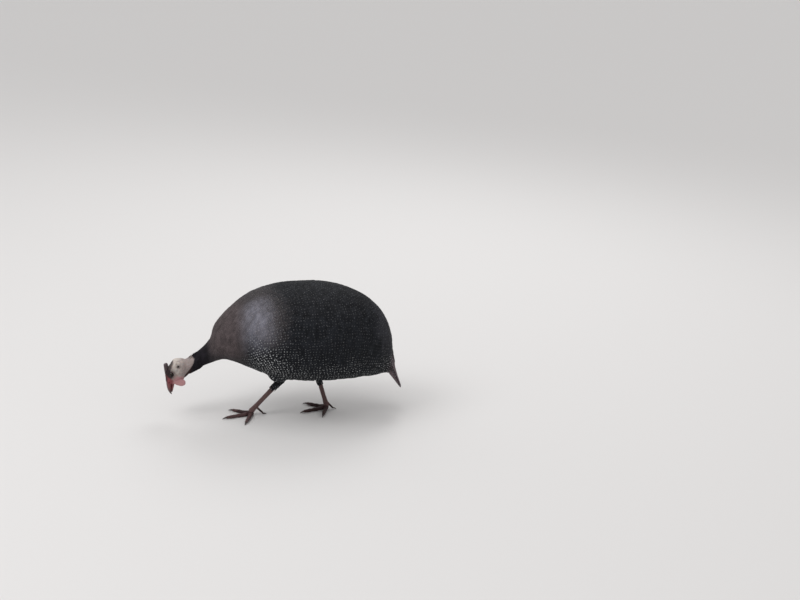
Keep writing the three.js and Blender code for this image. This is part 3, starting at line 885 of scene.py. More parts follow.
def march(points, triangles, seeds, gap):
    """Rows counted over the surface from the seeds to every vertex."""
    around = [[] for _ in points]
    for a, b, c in triangles:
        around[a].append((b, c))
        around[b].append((c, a))
        around[c].append((a, b))
    reach = [math.inf] * len(points)
    settled = [False] * len(points)
    heap = []
    for seed in seeds:
        reach[seed] = 0.0
        heap.append((0.0, seed))
    while heap:
        value, here = heapq.heappop(heap)
        if settled[here]:
            continue
        settled[here] = True
        for pair in around[here]:
            for target, other in (pair, pair[::-1]):
                if settled[target]:
                    continue
                b = math.dist(points[here], points[target])
                found = value + b / gap[target]
                if settled[other]:
                    a = math.dist(points[other], points[target])
                    c = math.dist(points[other], points[here])
                    found = min(found, reach[other] + a / gap[target])
                    low, high = (value, reach[other]) if value <= reach[other] else (reach[other], value)
                    near, far = (b, a) if value <= reach[other] else (a, b)
                    cosine = (near * near + far * far - c * c) / (2 * near * far)
                    rise = high - low
                    slow = 1 / gap[target]
                    first = near * near + far * far - 2 * near * far * cosine
                    second = 2 * near * rise * (far * cosine - near)
                    third = near * near * (rise * rise - slow * slow * far * far * (1 - cosine * cosine))
                    under = second * second - 4 * first * third
                    if under > 0 and first > 0:
                        t = (-second + math.sqrt(under)) / (2 * first)
                        if t > rise and far * cosine < near * (t - rise) / t < far / max(cosine, 1e-6):
                            found = min(found, low + t)
                if found < reach[target]:
                    reach[target] = found
                    heapq.heappush(heap, (found, target))
    return np.array(reach)


def flow_of(points, triangles, reach):
    """The direction in which the rows are counted, at each vertex."""
    a, b, c = (points[triangles[:, k]] for k in range(3))
    normal = np.cross(b - a, c - a)
    area = np.maximum(np.linalg.norm(normal, axis=1), 1e-9)
    normal = normal / area[:, None]
    ra, rb, rc = (reach[triangles[:, k]][:, None] for k in range(3))
    slope = (ra * np.cross(normal, c - b) + rb * np.cross(normal, a - c) + rc * np.cross(normal, b - a))
    out = np.zeros_like(points)
    for k in range(3):
        for axis in range(3):
            out[:, axis] += np.bincount(triangles[:, k], weights=slope[:, axis], minlength=len(points))
    return out


def level_rings(points, triangles, reach, level):
    """Closed rings of points where the row count has one value."""
    values = reach[triangles]
    crossed = triangles[(values.min(axis=1) < level) & (values.max(axis=1) >= level)]
    links = {}
    for tri in crossed.tolist():
        cuts = []
        for a, b in ((tri[0], tri[1]), (tri[1], tri[2]), (tri[2], tri[0])):
            if (reach[a] < level) != (reach[b] < level):
                cuts.append((a, b) if a < b else (b, a))
        links.setdefault(cuts[0], []).append(cuts[1])
        links.setdefault(cuts[1], []).append(cuts[0])
    rings = []
    while links:
        first = next(iter(links))
        ring = [first]
        before, here = None, first
        while True:
            ahead = [e for e in links[here] if e != before]
            if not ahead or ahead[0] == first:
                break
            before, here = here, ahead[0]
            ring.append(here)
        for edge in ring:
            links.pop(edge, None)
        if len(ring) < 5:
            continue
        a, b = np.array(ring).T
        share = ((level - reach[a]) / (reach[b] - reach[a]))[:, None]
        rings.append(points[a] * (1 - share) + points[b] * share)
    return rings


def ring_roots(ring, row):
    """Even places round a ring, starting at the top, with odd rows moved half a place."""
    start = np.argmin(np.abs(ring[:, 0]) - 0.3 * ring[:, 2])
    ring = np.roll(ring, -start, axis=0)
    ring = np.concatenate([ring, ring[:1]])
    lengths = np.linalg.norm(np.diff(ring, axis=0), axis=1)
    middle = (ring[1:] + ring[:-1]) / 2
    ahead = np.concatenate([[0], np.cumsum(lengths / (0.98 * row_gap(middle)))])
    count = int(round(ahead[-1]))
    if count < 4:
        return np.zeros((0, 3))
    at = (np.arange(count) + 0.5 * (row % 2)) * ahead[-1] / count
    at += RANDOM.uniform(-0.06, 0.06, count)
    return np.stack([np.interp(at, ahead, ring[:, axis]) for axis in range(3)], axis=1)


def coat_roots(form):
    """Root places, flow directions and row numbers of the whole coat, in bird millimetres."""
    points = to_bird(points_of(form))
    triangles = triangles_of(form)
    away = np.linalg.norm(points - np.array(NECK_LINE[0], float), axis=1)
    seeds = np.nonzero(away < away.min() + 4)[0]
    reach = march(points.tolist(), triangles.tolist(), seeds.tolist(), row_gap(points).tolist())
    flow = unit(smoothed(flow_of(points, triangles, reach), edges_of(form), 6, steps=EVENING))
    wing_tip = np.array(WING_TIP) * np.stack([np.sign(points[:, 0]), *np.ones((2, len(points)))], axis=1)
    flow += unit(wing_tip - points) * (0.9 * wing_share(points))[:, None]
    roots, rows = [], []
    for row in range(1, int(reach[np.isfinite(reach)].max())):
        for ring in level_rings(points, triangles, reach, row + 0.001):
            found = ring_roots(ring, row)
            roots.append(found)
            rows.append(np.full(len(found), row))
    roots = np.concatenate(roots)
    tree = nearest_finder(points)
    nearest = [tree.find(root)[1] for root in roots]
    return roots, flow[nearest], np.concatenate(rows)


def wing_share(places):
    """1 on the folded wing, 0 elsewhere."""
    x, y, z = places.T
    oval = 1 - ((y - 8) / 150) ** 2 - ((z - (180 - 0.28 * (y - 8))) / 68) ** 2
    return ramp(oval, -0.05, 0.3) * ramp(np.abs(x), 38, 58)


# Feathers

WING_TIP = (52, 190, 92)
VANE_SHARES = (0.0, 0.3, 0.56, 0.76, 0.9, 1.0)
VANE_ACROSS = 4


def vane_outline(share):
    """Half width of a body feather at a share of its length, 0 at the tip."""
    grown = 0.28 + 0.72 * ramp(share, 0.0, 0.55)
    tip = np.sqrt(np.clip(1 - np.clip((share - 0.62) / 0.38, 0, 1) ** 2.4, 0, 1))
    return 0.5 * grown * tip


def two_faced(rows, columns):
    """A closed thin sheet: its points as (face, row, column), with face 0 on the rim, and its quads."""
    index, corners, quads = {}, [], []
    for face in (1, -1):
        for i in range(rows):
            for j in range(columns):
                rim = i in (0, rows - 1) or j in (0, columns - 1)
                if rim and face == -1:
                    index[face, i, j] = index[1, i, j]
                    continue
                index[face, i, j] = len(corners)
                corners.append((0 if rim else face, i, j))
    for face in (1, -1):
        for i in range(rows - 1):
            for j in range(columns - 1):
                quad = [index[face, p, q] for p, q in ((i, j), (i + 1, j), (i + 1, j + 1), (i, j + 1))]
                quads.append(quad if face == 1 else quad[::-1])
    return corners, quads


def sheet_mesh(name, points, quads, rims):
    """A smooth mesh that is sharp along its rim."""
    mesh = bpy.data.meshes.new(name)
    mesh.from_pydata(points, [], quads)
    smooth_faces(mesh)
    sharp = np.array(rims)[edges_of(mesh)].all(axis=1)
    mesh.attributes.new("sharp_edge", "BOOLEAN", "EDGE").data.foreach_set("value", sharp.tolist())
    return mesh


def vane_template():
    """One body feather, flat until it is laid. x runs from root to tip, y across."""
    corners, quads = two_faced(len(VANE_SHARES), VANE_ACROSS + 1)
    points, shares = [], []
    for face, i, j in corners:
        share = VANE_SHARES[i]
        v = -1 + 2 * j / VANE_ACROSS
        at_tip = share == 1
        half = max(float(vane_outline(share)), 0.2 if at_tip else 0)
        bow = 0.06 * (1 - abs(v)) if at_tip else 0
        points.append(((share + bow) / 1.06, half * v, 0))
        shares.append((share ** 0.9 - 0.1 * share ** 5, 1 - abs(v) ** 1.6, face * (1.0 if v else 1.5)))
    mesh = sheet_mesh("vane", points, quads, [face == 0 for face, _, _ in corners])
    for name, values in zip(("rise_share", "arch_share", "side"), np.transpose(shares)):
        store(mesh, name, "FLOAT", values)
    store(mesh, "vane", "FLOAT_VECTOR", points)
    return add_object("vane", mesh)


def coat_tree():
    """Feathers on points, each vane laid on the skin and rising from root to tip."""
    tree = bpy.data.node_groups.new("feather_coat", "GeometryNodeTree")
    sides = tree.interface
    sides.new_socket("Geometry", in_out="INPUT", socket_type="NodeSocketGeometry")
    for name, kind in (
        ("Vane", "NodeSocketObject"),
        ("Skin", "NodeSocketObject"),
        ("Vane thickness", "NodeSocketFloat"),
        ("Patch size", "NodeSocketFloat"),
        ("Finish", "NodeSocketMaterial"),
    ):
        sides.new_socket(name, in_out="INPUT", socket_type=kind)
    sides.new_socket("Geometry", in_out="OUTPUT", socket_type="NodeSocketGeometry")
    g = Graph(tree)
    given = {socket.name: Wire(g, socket) for socket in g.node("NodeGroupInput").outputs}

    def named(name, kind="FLOAT"):
        return g.wire("GeometryNodeInputNamedAttribute", {"Name": name}, "Attribute", data_type=kind)

    def vector(name):
        return named(name, "FLOAT_VECTOR")

    def kept(geometry, name, value, **settings):
        """The geometry with a value stored on it under a name."""
        inputs = {"Geometry": geometry, "Name": name, "Value": value}
        return g.wire("GeometryNodeStoreNamedAttribute", inputs, **settings)

    vane, skin = (
        g.wire("GeometryNodeObjectInfo", {"Object": given[name]}, "Geometry") for name in ("Vane", "Skin")
    )
    turn = g.wire(
        "FunctionNodeAxesToRotation", {0: vector("along"), 1: vector("outward")},
        primary_axis="X", secondary_axis="Z",
    )
    placed = g.wire(
        "GeometryNodeInstanceOnPoints",
        {"Points": given["Geometry"], "Instance": vane, "Rotation": turn, "Scale": vector("size")},
    )
    loose = g.wire("GeometryNodeRealizeInstances", {"Geometry": placed})
    here = g.wire("GeometryNodeInputPosition")
    near = g.wire(
        "GeometryNodeProximity", {"Geometry": skin, "Sample Position": here}, "Position",
        target_element="FACES",
    )
    lie = g.wire(
        "GeometryNodeSampleNearestSurface",
        {"Mesh": skin, "Value": vector("lie_normal"), "Sample Position": here}, "Value",
        data_type="FLOAT_VECTOR",
    )
    height = named("height") + named("rise") * named("rise_share") + named("arch") * named("arch_share")
    height = height + given["Vane thickness"] * named("side")
    laid = g.vector_math("ADD", near, g.scaled(g.vector_math("NORMALIZE", lie), height))
    moved = g.wire("GeometryNodeSetPosition", {"Geometry": loose, "Position": laid})
    share, across, _ = g.split(vector("vane"))
    long, wide, _ = g.split(vector("size"))
    place = g.joined(across * wide * 1000.0, (1.0 - share) * long * 1000.0, share)
    patch = g.scaled(g.joined(share - 0.5, across), given["Patch size"])
    corner = g.vector_math("ADD", vector("root_uv"), patch)
    feathers = kept(moved, "place", place, data_type="FLOAT_VECTOR")
    feathers = kept(feathers, "OFBake", corner, data_type="FLOAT2", domain="CORNER")
    real = g.wire("GeometryNodeRealizeInstances", {"Geometry": feathers})
    done = g.wire("GeometryNodeSetMaterial", {"Geometry": real, "Material": given["Finish"]})
    g.node("NodeGroupOutput", {"Geometry": done})
    return tree


# What a feather carries only while it is laid
LAYING_VALUES = (
    "along", "outward", "size", "height", "rise", "arch", "root_uv",
    "rise_share", "arch_share", "side", "vane",
)
PATCH_SIZE = 0.003
VANE_THICKNESS = 0.12


class Coat:
    """What every group of feathers needs: the skin and its lie, the vane, the tree and the finish."""

    def __init__(self, skin, finish):
        self.skin = skin
        self.finish = finish
        self.vane = vane_template()
        self.tree = coat_tree()
        mesh = skin.data
        points = points_of(mesh)
        self.surface = BVHTree.FromPolygons(points.tolist(), [tuple(p.vertices) for p in mesh.polygons])
        self.corners = nearest_finder(points)
        self.normals = unit(smoothed(normals_of(mesh), edges_of(mesh), 12, steps=EVENING))
        store(mesh, "lie_normal", "FLOAT_VECTOR", self.normals)

    def seat(self, points):
        """Nearest places on the skin and the lie of the skin there."""
        seats = np.array([self.surface.find_nearest(Vector(p))[0] for p in points])
        return seats, self.normals[[self.corners.find(p)[1] for p in seats]]

    def lay(self, name, slot, roots, flow, length, width, rise, height, arch, uv, jitter=0.07):
        """Makes one piece of feathers. Sizes are in millimetres, one for each root."""
        count = len(roots)
        seats, outward = self.seat(to_frame(roots))
        along = unit(flow - (flow * outward).sum(axis=1)[:, None] * outward)
        side = np.cross(outward, along)
        along = unit(along + side * RANDOM.normal(0, jitter, count)[:, None])
        grow = RANDOM.uniform(0.94, 1.06, count)
        lift = rise * RANDOM.uniform(0.82, 1.18, count)
        shade = np.tile(RANDOM.uniform(0.8, 1.2, count)[:, None], 3)
        mesh = bpy.data.meshes.new(name)
        mesh.from_pydata(seats.tolist(), [], [])
        for key, kind, values in (
            ("along", "FLOAT_VECTOR", along),
            ("outward", "FLOAT_VECTOR", outward),
            ("size", "FLOAT_VECTOR", np.stack([length * grow, width * grow, np.ones(count)], axis=1) * MM),
            ("height", "FLOAT", height * MM * np.ones(count)),
            ("rise", "FLOAT", lift * MM),
            ("arch", "FLOAT", arch * MM * np.ones(count)),
            ("root_uv", "FLOAT_VECTOR", widened(uv, 0.0)),
            ("ground", "FLOAT_COLOR", widened(shade)),
            ("marks", "FLOAT_VECTOR", plumage_marks(to_bird(seats))),
        ):
            store(mesh, key, kind, values)
        piece = add_object(name, mesh)
        grower = piece.modifiers.new("feathers", "NODES")
        grower.node_group = self.tree
        sockets = {s.name: s.identifier for s in self.tree.interface.items_tree if s.in_out == "INPUT"}
        grower[sockets["Vane"]] = self.vane
        grower[sockets["Skin"]] = self.skin
        grower[sockets["Vane thickness"]] = VANE_THICKNESS * MM
        grower[sockets["Patch size"]] = PATCH_SIZE
        grower[sockets["Finish"]] = self.finish
        feathers = plain_mesh(piece)
        piece.modifiers.clear()
        piece.data = feathers
        for key in LAYING_VALUES:
            if key in feathers.attributes:
                feathers.attributes.remove(feathers.attributes[key])
        layer = feathers.attributes["ground"].data
        ground = numbers_of(layer, "color", 4)
        # The ground colour carries the painted shoulder highlight and the painted shade low on the body
        ground[:, :3] *= plumage_ground(to_bird(points_of(feathers)))
        layer.foreach_set("color", ground.ravel())
        finish_piece(piece, slot)


def finish_piece(piece, slot, *nodes):
    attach(piece, "root")
    if nodes:
        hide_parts(*nodes)


# The height of the body's middle at places from bill to tail
BODY_MIDDLE = ((-238, 99), (-199, 119), (-160, 144), (-100, 172), (0, 172), (130, 172), (163, 122), (201, 53))


def around_axis(places):
    """Share of the way round the body, 0 to 1, for the unwrap."""
    middle = np.interp(places[:, 1], *np.transpose(BODY_MIDDLE))
    turn = np.arctan2(places[:, 0], places[:, 2] - middle) / (2 * math.pi) + 0.5
    return turn * 0.97 + 0.015


def body_coat(coat, form):
    """The contour feathers, split over pieces by place."""
    roots, flow, rows = coat_roots(form)
    _, y, z = roots.T
    thighs = [from_line(roots, (KNEES[side], HOCKS[side]))[0] < 16 for side in SIDES]
    keep = (z > 90) | (y > 165) | ((thighs[0] | thighs[1]) & (z > 81))
    keep &= np.linalg.norm(roots - np.array(NECK_LINE[0]), axis=1) > 44
    keep &= bare_share(roots) < 0.5
    keep &= (y < 160) | (z > 112)
    roots, flow, rows = roots[keep], flow[keep], rows[keep]
    y = roots[:, 1]
    gap = row_gap(roots)
    collar = ramp(-y, 120, 160)
    length = gap * (3.0 + 0.6 * collar)
    width = gap * (1.9 - 0.25 * collar)
    loose = ramp(RANDOM.uniform(0, 1, len(gap)), 0.93, 1.0)
    rise = np.clip(gap * (0.235 - 0.04 * collar), 0.7, 2.1) * (1 + 0.3 * loose)
    height = 0.25 + 1.7 * wing_share(roots) * ramp(-y, -95, -60) + 1.8 * on_tail(roots)
    arch = (0.055 - 0.02 * collar) * gap
    uv = np.stack([around_axis(roots), 0.02 + 0.95 * rows / (rows.max() + 1)], axis=1)
    for name, slot, inside in (
        ("neck_feathers", "neck_plumage", y < -165),
        ("breast_feathers", "plumage", (y >= -165) & (y < -70)),
        ("side_feathers_front", "plumage", (y >= -70) & (y < 20)),
        ("side_feathers_back", "plumage", (y >= 20) & (y < 100)),
        ("rump_feathers", "plumage", y >= 100),
    ):
        chosen = (values[inside] for values in (roots, flow, length, width, rise, height, arch, uv))
        coat.lay(name, slot, *chosen)


def scattered(coat, chosen, spacing):
    """Skin points in the chosen places, no two nearer than the spacing."""
    places = to_bird(points_of(coat.skin.data))
    index = np.nonzero(chosen(places))[0]
    RANDOM.shuffle(index)
    cells = {}
    kept = []
    for i in index:
        p = places[i]
        cell = tuple((p // spacing).astype(int))
        close = (
            q for dx in (-1, 0, 1) for dy in (-1, 0, 1) for dz in (-1, 0, 1)
            for q in cells.get((cell[0] + dx, cell[1] + dy, cell[2] + dz), ())
        )
        if all(math.dist(p, q) >= spacing for q in close):
            cells.setdefault(cell, []).append(p.tolist())
            kept.append(p)
    return np.array(kept)


def face_edge_coat(coat):
    """Short feathers where the neck and throat meet the bare face, and dark bristles up the nape."""

    def throat(places):
        fore, _, out = head_axes(places)
        near = np.linalg.norm(places - np.array(NECK_LINE[0]), axis=1) < 50
        return near & (bare_share(places) < 0.5) & (fore < 4) & ((fore < -4) | (np.abs(out) < 7))

    def nape(places):
        fore, crown, out = head_axes(places)
        return (np.abs(out) < 7) & (fore > -50) & (fore < -36) & (crown > -29)

    back = (0.0, 0.89, 0.456)
    scattered_coat(coat, "throat_feathers", "neck_plumage", throat, 1.75, back, (7.0, 2.8, 0.8))
    scattered_coat(coat, "nape_bristles", "neck_plumage", nape, 2.7, back, (6.5, 0.55, 1.3))


def leg_coat(coat):
    """Feathers of the thighs that run a little way down over the top of the bare shanks."""
    for side in SIDES:
        hock, ankle, knee = (np.array(joint[side], float) for joint in (HOCKS, ANKLES, KNEES))

        def sleeve(places):
            lower, share = from_line(places, (hock, ankle))
            upper, _ = from_line(places, (knee, hock))
            below = (lower < 11) & (share < 0.16 + 0.05 * np.sin(places[:, 0] * 2.1))
            return (below | (upper < 14)) & (places[:, 2] < 92)

        flow = unit(ankle - hock) + 0.3 * unit(hock - knee)
        scattered_coat(coat, f"thigh_feathers_{side}", "plumage", sleeve, 2.6, flow, (11.0, 5.0, 1.8))


def scattered_coat(coat, name, slot, chosen, spacing, flow, sizes):
    """A piece of small feathers on the chosen places. sizes: length, width and rise in millimetres."""
    roots = scattered(coat, chosen, spacing)
    count = len(roots)
    length, width, rise = (np.full(count, size) for size in sizes)
    flow = np.tile(np.array(flow, float), (count, 1))
    uv = np.stack([around_axis(roots), 0.004 + 0.012 * RANDOM.uniform(0, 1, count)], axis=1)
    coat.lay(name, slot, roots, flow, length, width, rise, 0.1, 0.15, uv, jitter=0.16)


# Long feathers of wing and tail, laid along their own lines

# Across a long feather: places as shares of its half width, and how thick it is there
QUILL_ACROSS = ((-1, 0), (-0.55, 0.12), (0, 0.208), (0.55, 0.12), (1, 0))
QUILL_STEPS = 16


def strips(name, coat, lines):
    """One piece of long feathers. lines: centre, outward normals, half widths, ground, marks and uv."""
    verts, faces, rims, place, ground, marks, uvs = ([] for _ in range(7))
    corners, quads = two_faced(QUILL_STEPS, len(QUILL_ACROSS))
    for centre, outward, half, colour, mark, uv in lines:
        side = unit(np.cross(outward, unit(np.gradient(centre, axis=0))))
        lengths = lengths_along(centre)
        base = len(verts)
        faces += [[base + corner for corner in quad] for quad in quads]
        for face, i, j in corners:
            v, thick = QUILL_ACROSS[j]
            share = lengths[i] / lengths[-1]
            lift = face * thick + 0.10 * half[i] * (1 - v * v)
            verts.append(centre[i] + side[i] * v * half[i] + outward[i] * lift)
            rims.append(face == 0)
            place.append((v * half[i], lengths[-1] - lengths[i], share))
            ground.append((*colour, 1))
            marks.append(mark)
            uvs.append((uv[0] + PATCH_SIZE * (share - 0.5), uv[1] + PATCH_SIZE / 2 * v))
    mesh = sheet_mesh(name, to_frame(verts).tolist(), faces, rims)
    store(mesh, "place", "FLOAT_VECTOR", place)
    store(mesh, "ground", "FLOAT_COLOR", ground)
    store(mesh, "marks", "FLOAT_VECTOR", marks)
    owners = numbers_of(mesh.loops, "vertex_index", 1, np.int64)[:, 0]
    mesh.uv_layers.new(name="OFBake").data.foreach_set("uv", np.array(uvs)[owners].ravel())
    mesh.materials.append(coat.finish)
    finish_piece(add_object(name, mesh), "plumage")


def quill_widths(half, root=0.25, blunt=0.12):
    """Half widths along a long feather: slim root, even web, rounded tip."""
    share = np.linspace(0, 1, QUILL_STEPS)
    web = root + (1 - root) * ramp(share, 0, 0.25)
    tip = np.sqrt(np.clip(1 - np.clip((share - 0.86) / 0.14, 0, 1) ** 2, blunt ** 2, 1))
    return half * web * tip


def laid_line(coat, start, end, heights, bend):
    """A line over the skin between two places, lifted off it."""
    share = np.linspace(0, 1, QUILL_STEPS)[:, None]
    straight = np.array(start) * (1 - share) + np.array(end) * share
    straight[:, 2] += bend * np.sin(math.pi * share[:, 0])
    seats, outward = coat.seat(to_frame(straight))
    outward = unit(smoothed_row(outward, 3))
    return smoothed_row(to_bird(seats), 2) + outward * heights[:, None], outward


def smoothed_row(values, rounds):
    for _ in range(rounds):
        inner = (values[:-2] + 2 * values[1:-1] + values[2:]) / 4
        values = np.concatenate([values[:1], inner, values[-1:]])
    return values


def wing_quills(coat):
    """Secondaries that show under the coverts at the lower back of the folded wing."""
    count = 11
    for side, sign in SIDES.items():
        lines = []
        for i in range(count):
            share = i / (count - 1)
            start = (sign * 88, 2 + 26 * share, 122 + 78 * share)
            end = (sign * (62 - 6 * share), 136 + 20 * share ** 0.7 - 8 * share ** 2, 104 + 66 * share)
            heights = np.linspace(0.5, 2.5 - 0.5 * share, QUILL_STEPS) + 0.05 * (count - i)
            centre, outward = laid_line(coat, start, end, heights, bend=5)
            mark = plumage_marks(centre[10:11])[0] * np.array([0.8, 1.0, 1.0])
            colour = plumage_ground(centre[8:9])[0] * RANDOM.uniform(0.85, 1.15)
            uv = (0.02 + 0.012 * i + (0.5 if sign > 0 else 0), 0.985)
            lines.append((centre, outward, quill_widths(8.5), colour, mark, uv))
        strips(f"wing_quills_{side}", coat, lines)


# The tail from root to tip: back, up, half width and half thickness
TAIL_STATIONS = (
    (150, 150, 30, 19), (163, 122, 32, 14.5), (175, 98, 31, 9), (187, 77, 27, 4.6), (196, 62, 21, 2.4),
    (201, 53, 14, 1.3),
)


def tail_feathers(coat):
    """The closed tail: overlapping long feathers in two layers, one above and one below."""
    stations = np.array(TAIL_STATIONS, float)
    lengths = lengths_along(stations[:, :2])
    flat = np.zeros(QUILL_STEPS)
    lines = []
    for layer, (sign, count) in enumerate(((1, 8), (-1, 7))):
        for i in range(count):
            lean = -1 + 2 * i / (count - 1)
            order = abs(lean)
            reach = lengths[-1] * (1.0 - 0.10 * order ** 2 - 0.03 * layer)
            at = np.linspace(lengths[-1] * 0.12, reach, QUILL_STEPS)
            y, z, half, thick = (np.interp(at, lengths, column) for column in stations.T)
            along = unit(np.stack([flat, np.gradient(y), np.gradient(z)], axis=1))
            outward = np.stack([flat, -along[:, 2], along[:, 1]], axis=1) * sign
            rise = thick * np.sqrt(np.clip(1 - (0.74 * lean) ** 2, 0, 1)) - 0.3 + 0.55 * (1 - order) * sign
            rise = np.maximum(rise, 0.5) + 0.25 * (i % 2)
            tilt = outward + np.array([0.55 * lean, 0, 0]) * np.minimum(thick / 12, 1)[:, None]
            centre = np.stack([lean * half * 0.74, y, z], axis=1) + outward * rise[:, None]
            colour = np.array(linear(*TAIL_QUILL)[:3]) * RANDOM.uniform(0.85, 1.15)
            uv = (0.3 + 0.014 * i, 0.975 + 0.01 * layer)
            lines.append((centre, unit(tilt), quill_widths(8.8, 0.6), colour, (0.32, 0.8, 0.5), uv))
    strips("tail_feathers", coat, lines)


# Eyes, horn and claws

def eyes():
    finish = eye_material()
    for side, sign in SIDES.items():
        bm = bmesh.new()
        bmesh.ops.create_uvsphere(bm, u_segments=48, v_segments=32, radius=1.0)
        bmesh.ops.rotate(bm, verts=bm.verts, cent=(0, 0, 0), matrix=Matrix.Rotation(math.radians(90), 3, "Y"))
        mesh = bpy.data.meshes.new(f"eyeball_{side}")
        bm.to_mesh(mesh)
        bm.free()
        ball = points_of(mesh)
        ring = np.hypot(ball[:, 1], ball[:, 2]) * EYE_RADIUS
        angle = np.arctan2(ball[:, 2], ball[:, 1])
        outer = ball[:, 0] * sign > 0
        place = ball * (EYE_RADIUS - 0.15)
        place[:, 0] += sign * np.where(outer, 0.5 * (1 - ramp(ring, 1.5, 3.8)), 0)
        set_points(mesh, to_frame(place + np.array([sign * EYE_OUT, *EYE_LINE[1:]])))
        store(mesh, "place", "FLOAT_VECTOR", np.stack([np.where(outer, ring, 9), angle, ring], axis=1))
        smooth_faces(mesh)
        mesh.materials.append(finish)
        finish_piece(add_object(f"eyeball_{side}", mesh), "eye", f"eye_{side}")


def horn_piece(name, slot, nodes, finish, tint_of, voxel, rounds, extra=(), shaped=None):
    """A smooth, finer copy of some horn solids, tinted by place. shaped moves its points, in millimetres."""
    mesh = remeshed(nodes, voxel, grow=0.1, extra=extra)
    points = points_of(mesh)
    if shaped:
        points = to_frame(shaped(to_bird(points)))
    points = smoothed(points, edges_of(mesh), rounds)
    place = to_bird(points)
    points[:, 2] = np.maximum(points[:, 2], 0.0)
    set_points(mesh, points)
    store(mesh, "tint", "FLOAT_COLOR", widened(tint_of(place)))
    smooth_faces(mesh)
    mesh.materials.append(finish)
    finish_piece(add_object(name, mesh), slot, *nodes)


CASQUE_FOOT = np.array(EYE_LINE) - 0.2 * FORE + 4.4 * CROWN
CASQUE_LEAN = -0.78 * FORE + 0.626 * CROWN
CASQUE_BACK = -0.626 * FORE - 0.78 * CROWN


def blunted(place):
    """Shapes the casque into a blunt leaning knob that stands free of the crown behind it."""
    up = (place - CASQUE_FOOT) @ CASQUE_LEAN
    back = (place - CASQUE_FOOT) @ CASQUE_BACK
    room = 12 - 8.6 * ramp(up, 3, 9)
    held = np.where(back > 0, room * np.tanh(back / room), back)
    beyond = np.maximum(up - 15.1, 0)
    kept = up - beyond + 3.6 * (1 - np.exp(-beyond / 3.6))
    return place + (kept - up)[:, None] * CASQUE_LEAN + (held - back)[:, None] * CASQUE_BACK


def nearly_closed(place):
    """Brings the lower half of the bill up to the upper half."""
    fore = head_axes(place)[0]
    return place + 0.6 * ramp(fore, 10, 20)[:, None] * CROWN


def bill_tint(place):
    fore, crown, _ = head_axes(place)
    return painted(
        plain(BILL_SIDE, len(place)),
        (BILL_RIDGE_DARK, 0.85 * on_culmen(fore, crown)),
        (BILL_MIDDLE, ramp(fore, 27, 35)),
        (BILL_TIP, ramp(fore, 33, 40)),
    )


def casque_tint(place):
    return painted(plain(CASQUE_ROOT, len(place)), (CASQUE_TIP, ramp(head_axes(place)[1], 12, 22)))


def claw_tint(place):
    return plain(CLAW, len(place))


def horns():
    bill = horn_material("bill_horn", (1.15, 1.1, 1.05, 1), (0.72, 0.66, 0.62, 1), (1.0, 0.5, 0.25))
    casque = horn_material("casque_horn", (1.2, 1.12, 1.05, 1), (0.6, 0.56, 0.54, 1), (1.0, 0.35, 1.0), 0.5)
    claw = horn_material("claw_horn", (1.2, 1.15, 1.1, 1), (0.6, 0.56, 0.54, 1), (0.4, 0.4, 1.0), 0.38)
    horn_piece("upper_bill", "bill_horn", ["bill_upper"], bill, bill_tint, 0.3, 8)
    horn_piece("lower_bill", "bill_horn", ["bill_lower"], bill, bill_tint, 0.3, 8, shaped=nearly_closed)
    knob = [(CASQUE_FOOT + 14.2 * CASQUE_LEAN, 3.3)]
    horn_piece("helmet", "casque_horn", ["casque"], casque, casque_tint, 0.35, 14, knob, blunted)
    for side in SIDES:
        nodes = [f"claw_{side}_{i}" for i in (1, 2, 3, 4)]
        horn_piece(f"claws_{side}", "claw_horn", nodes, claw, claw_tint, 0.3, 5)


# Camera, light and floor

# The camera's place in bird millimetres, and its axes
VIEW_FROM = (2157.54, -458.6, 945.89)
VIEW_RIGHT = (0.2592994, 0.9620687, 0.0847800)
VIEW_UP = (-0.3124282, 0.0004952, 0.9499412)
VIEW_AHEAD = (-0.9138667, 0.2728069, -0.3007058)


def camera():
    data = bpy.data.cameras.new("camera")
    data.lens = 54.0
    data.sensor_width = 36.0
    data.clip_start = 0.05
    data.clip_end = 60.0
    obj = add_object("camera", data)
    turn = Matrix((Vector(VIEW_RIGHT), Vector(VIEW_UP), -Vector(VIEW_AHEAD))).transposed().to_4x4()
    turn.translation = Vector(to_frame(VIEW_FROM))
    obj.matrix_world = turn
    bpy.context.scene.camera = obj


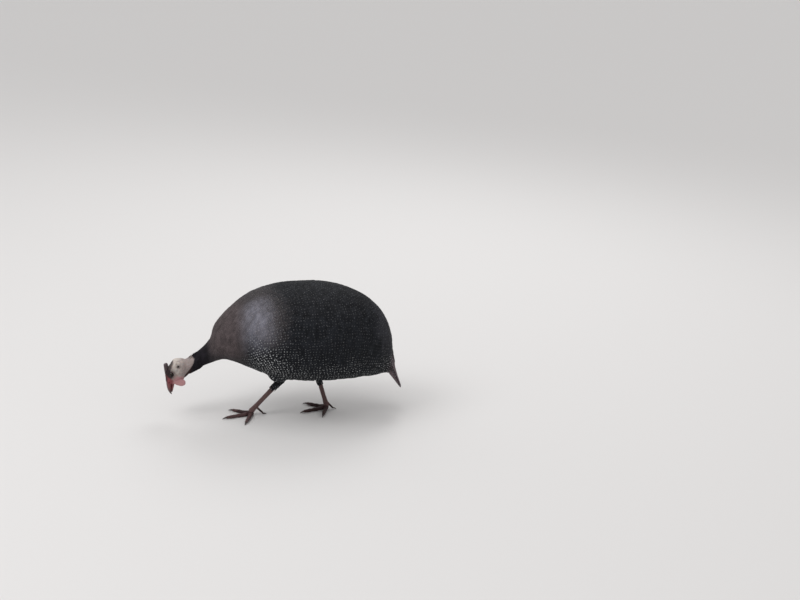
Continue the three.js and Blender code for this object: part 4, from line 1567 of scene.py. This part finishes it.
def lamp(name, kind, power, towards, place=(0, 0, 0), **settings):
    data = bpy.data.lights.new(name, kind)
    data.energy = power
    for key, value in settings.items():
        setattr(data, key, value)
    obj = add_object(name, data)
    obj.location = place
    obj.rotation_mode = "QUATERNION"
    obj.rotation_quaternion = Vector(towards).to_track_quat("-Z", "Y")


FLOOR_REACH = 120.0


def studio():
    middle = Vector((CAD_BOX[0] + CAD_BOX[1]) / 2)
    lamp("sky_panel", "SUN", 0.95, (-0.25, 0.75, -1.5), angle=math.radians(50))
    for name, place, size, power in (("key", (0.9, -1.9, 2.2), 1.4, 22), ("rim", (-1.6, 0.9, 2.2), 1.6, 17)):
        lamp(name, "AREA", power, middle - Vector(place), place, shape="DISK", size=size)
    world = bpy.data.worlds.new("studio")
    world.use_nodes = True
    sky = world.node_tree.nodes["Background"].inputs
    sky["Color"].default_value = (0.88, 0.872, 0.87, 1)
    sky["Strength"].default_value = 0.68
    bpy.context.scene.world = world
    bpy.context.scene.view_settings.view_transform = "Standard"
    mesh = bpy.data.meshes.new("floor")
    corners = [(x * FLOOR_REACH, y * FLOOR_REACH, 0) for x, y in ((-1, -1), (1, -1), (1, 1), (-1, 1))]
    mesh.from_pydata(corners, [], [(0, 1, 2, 3)])
    mesh.materials.append(material("floor", Roughness=0.85, Base_Color=(0.665, 0.655, 0.65, 1))[0])
    add_object("floor", mesh)


def build():
    camera()
    studio()
    form = body_form()
    lie = form.copy()
    skin = joined_skin([form, head_form(), leg_form("left"), leg_form("right")])
    colour_skin(skin)
    skin.data.materials.clear()
    skin.data.materials.append(skin_material())
    coat = Coat(skin, plumage_material())
    body_coat(coat, lie)
    face_edge_coat(coat)
    leg_coat(coat)
    wing_quills(coat)
    tail_feathers(coat)
    flesh = ["head", "neck", "trunk", "wing_left", "wing_right", "tail", "wattle_left", "wattle_right"]
    flesh += [f"{part}_{side}" for side in SIDES for part in ("thigh", "shank", "foot")]
    finish_piece(skin, "face_skin", *flesh)
    skin.data.attributes.remove(skin.data.attributes["lie_normal"])
    drop_object(coat.vane)
    eyes()
    horns()


build()
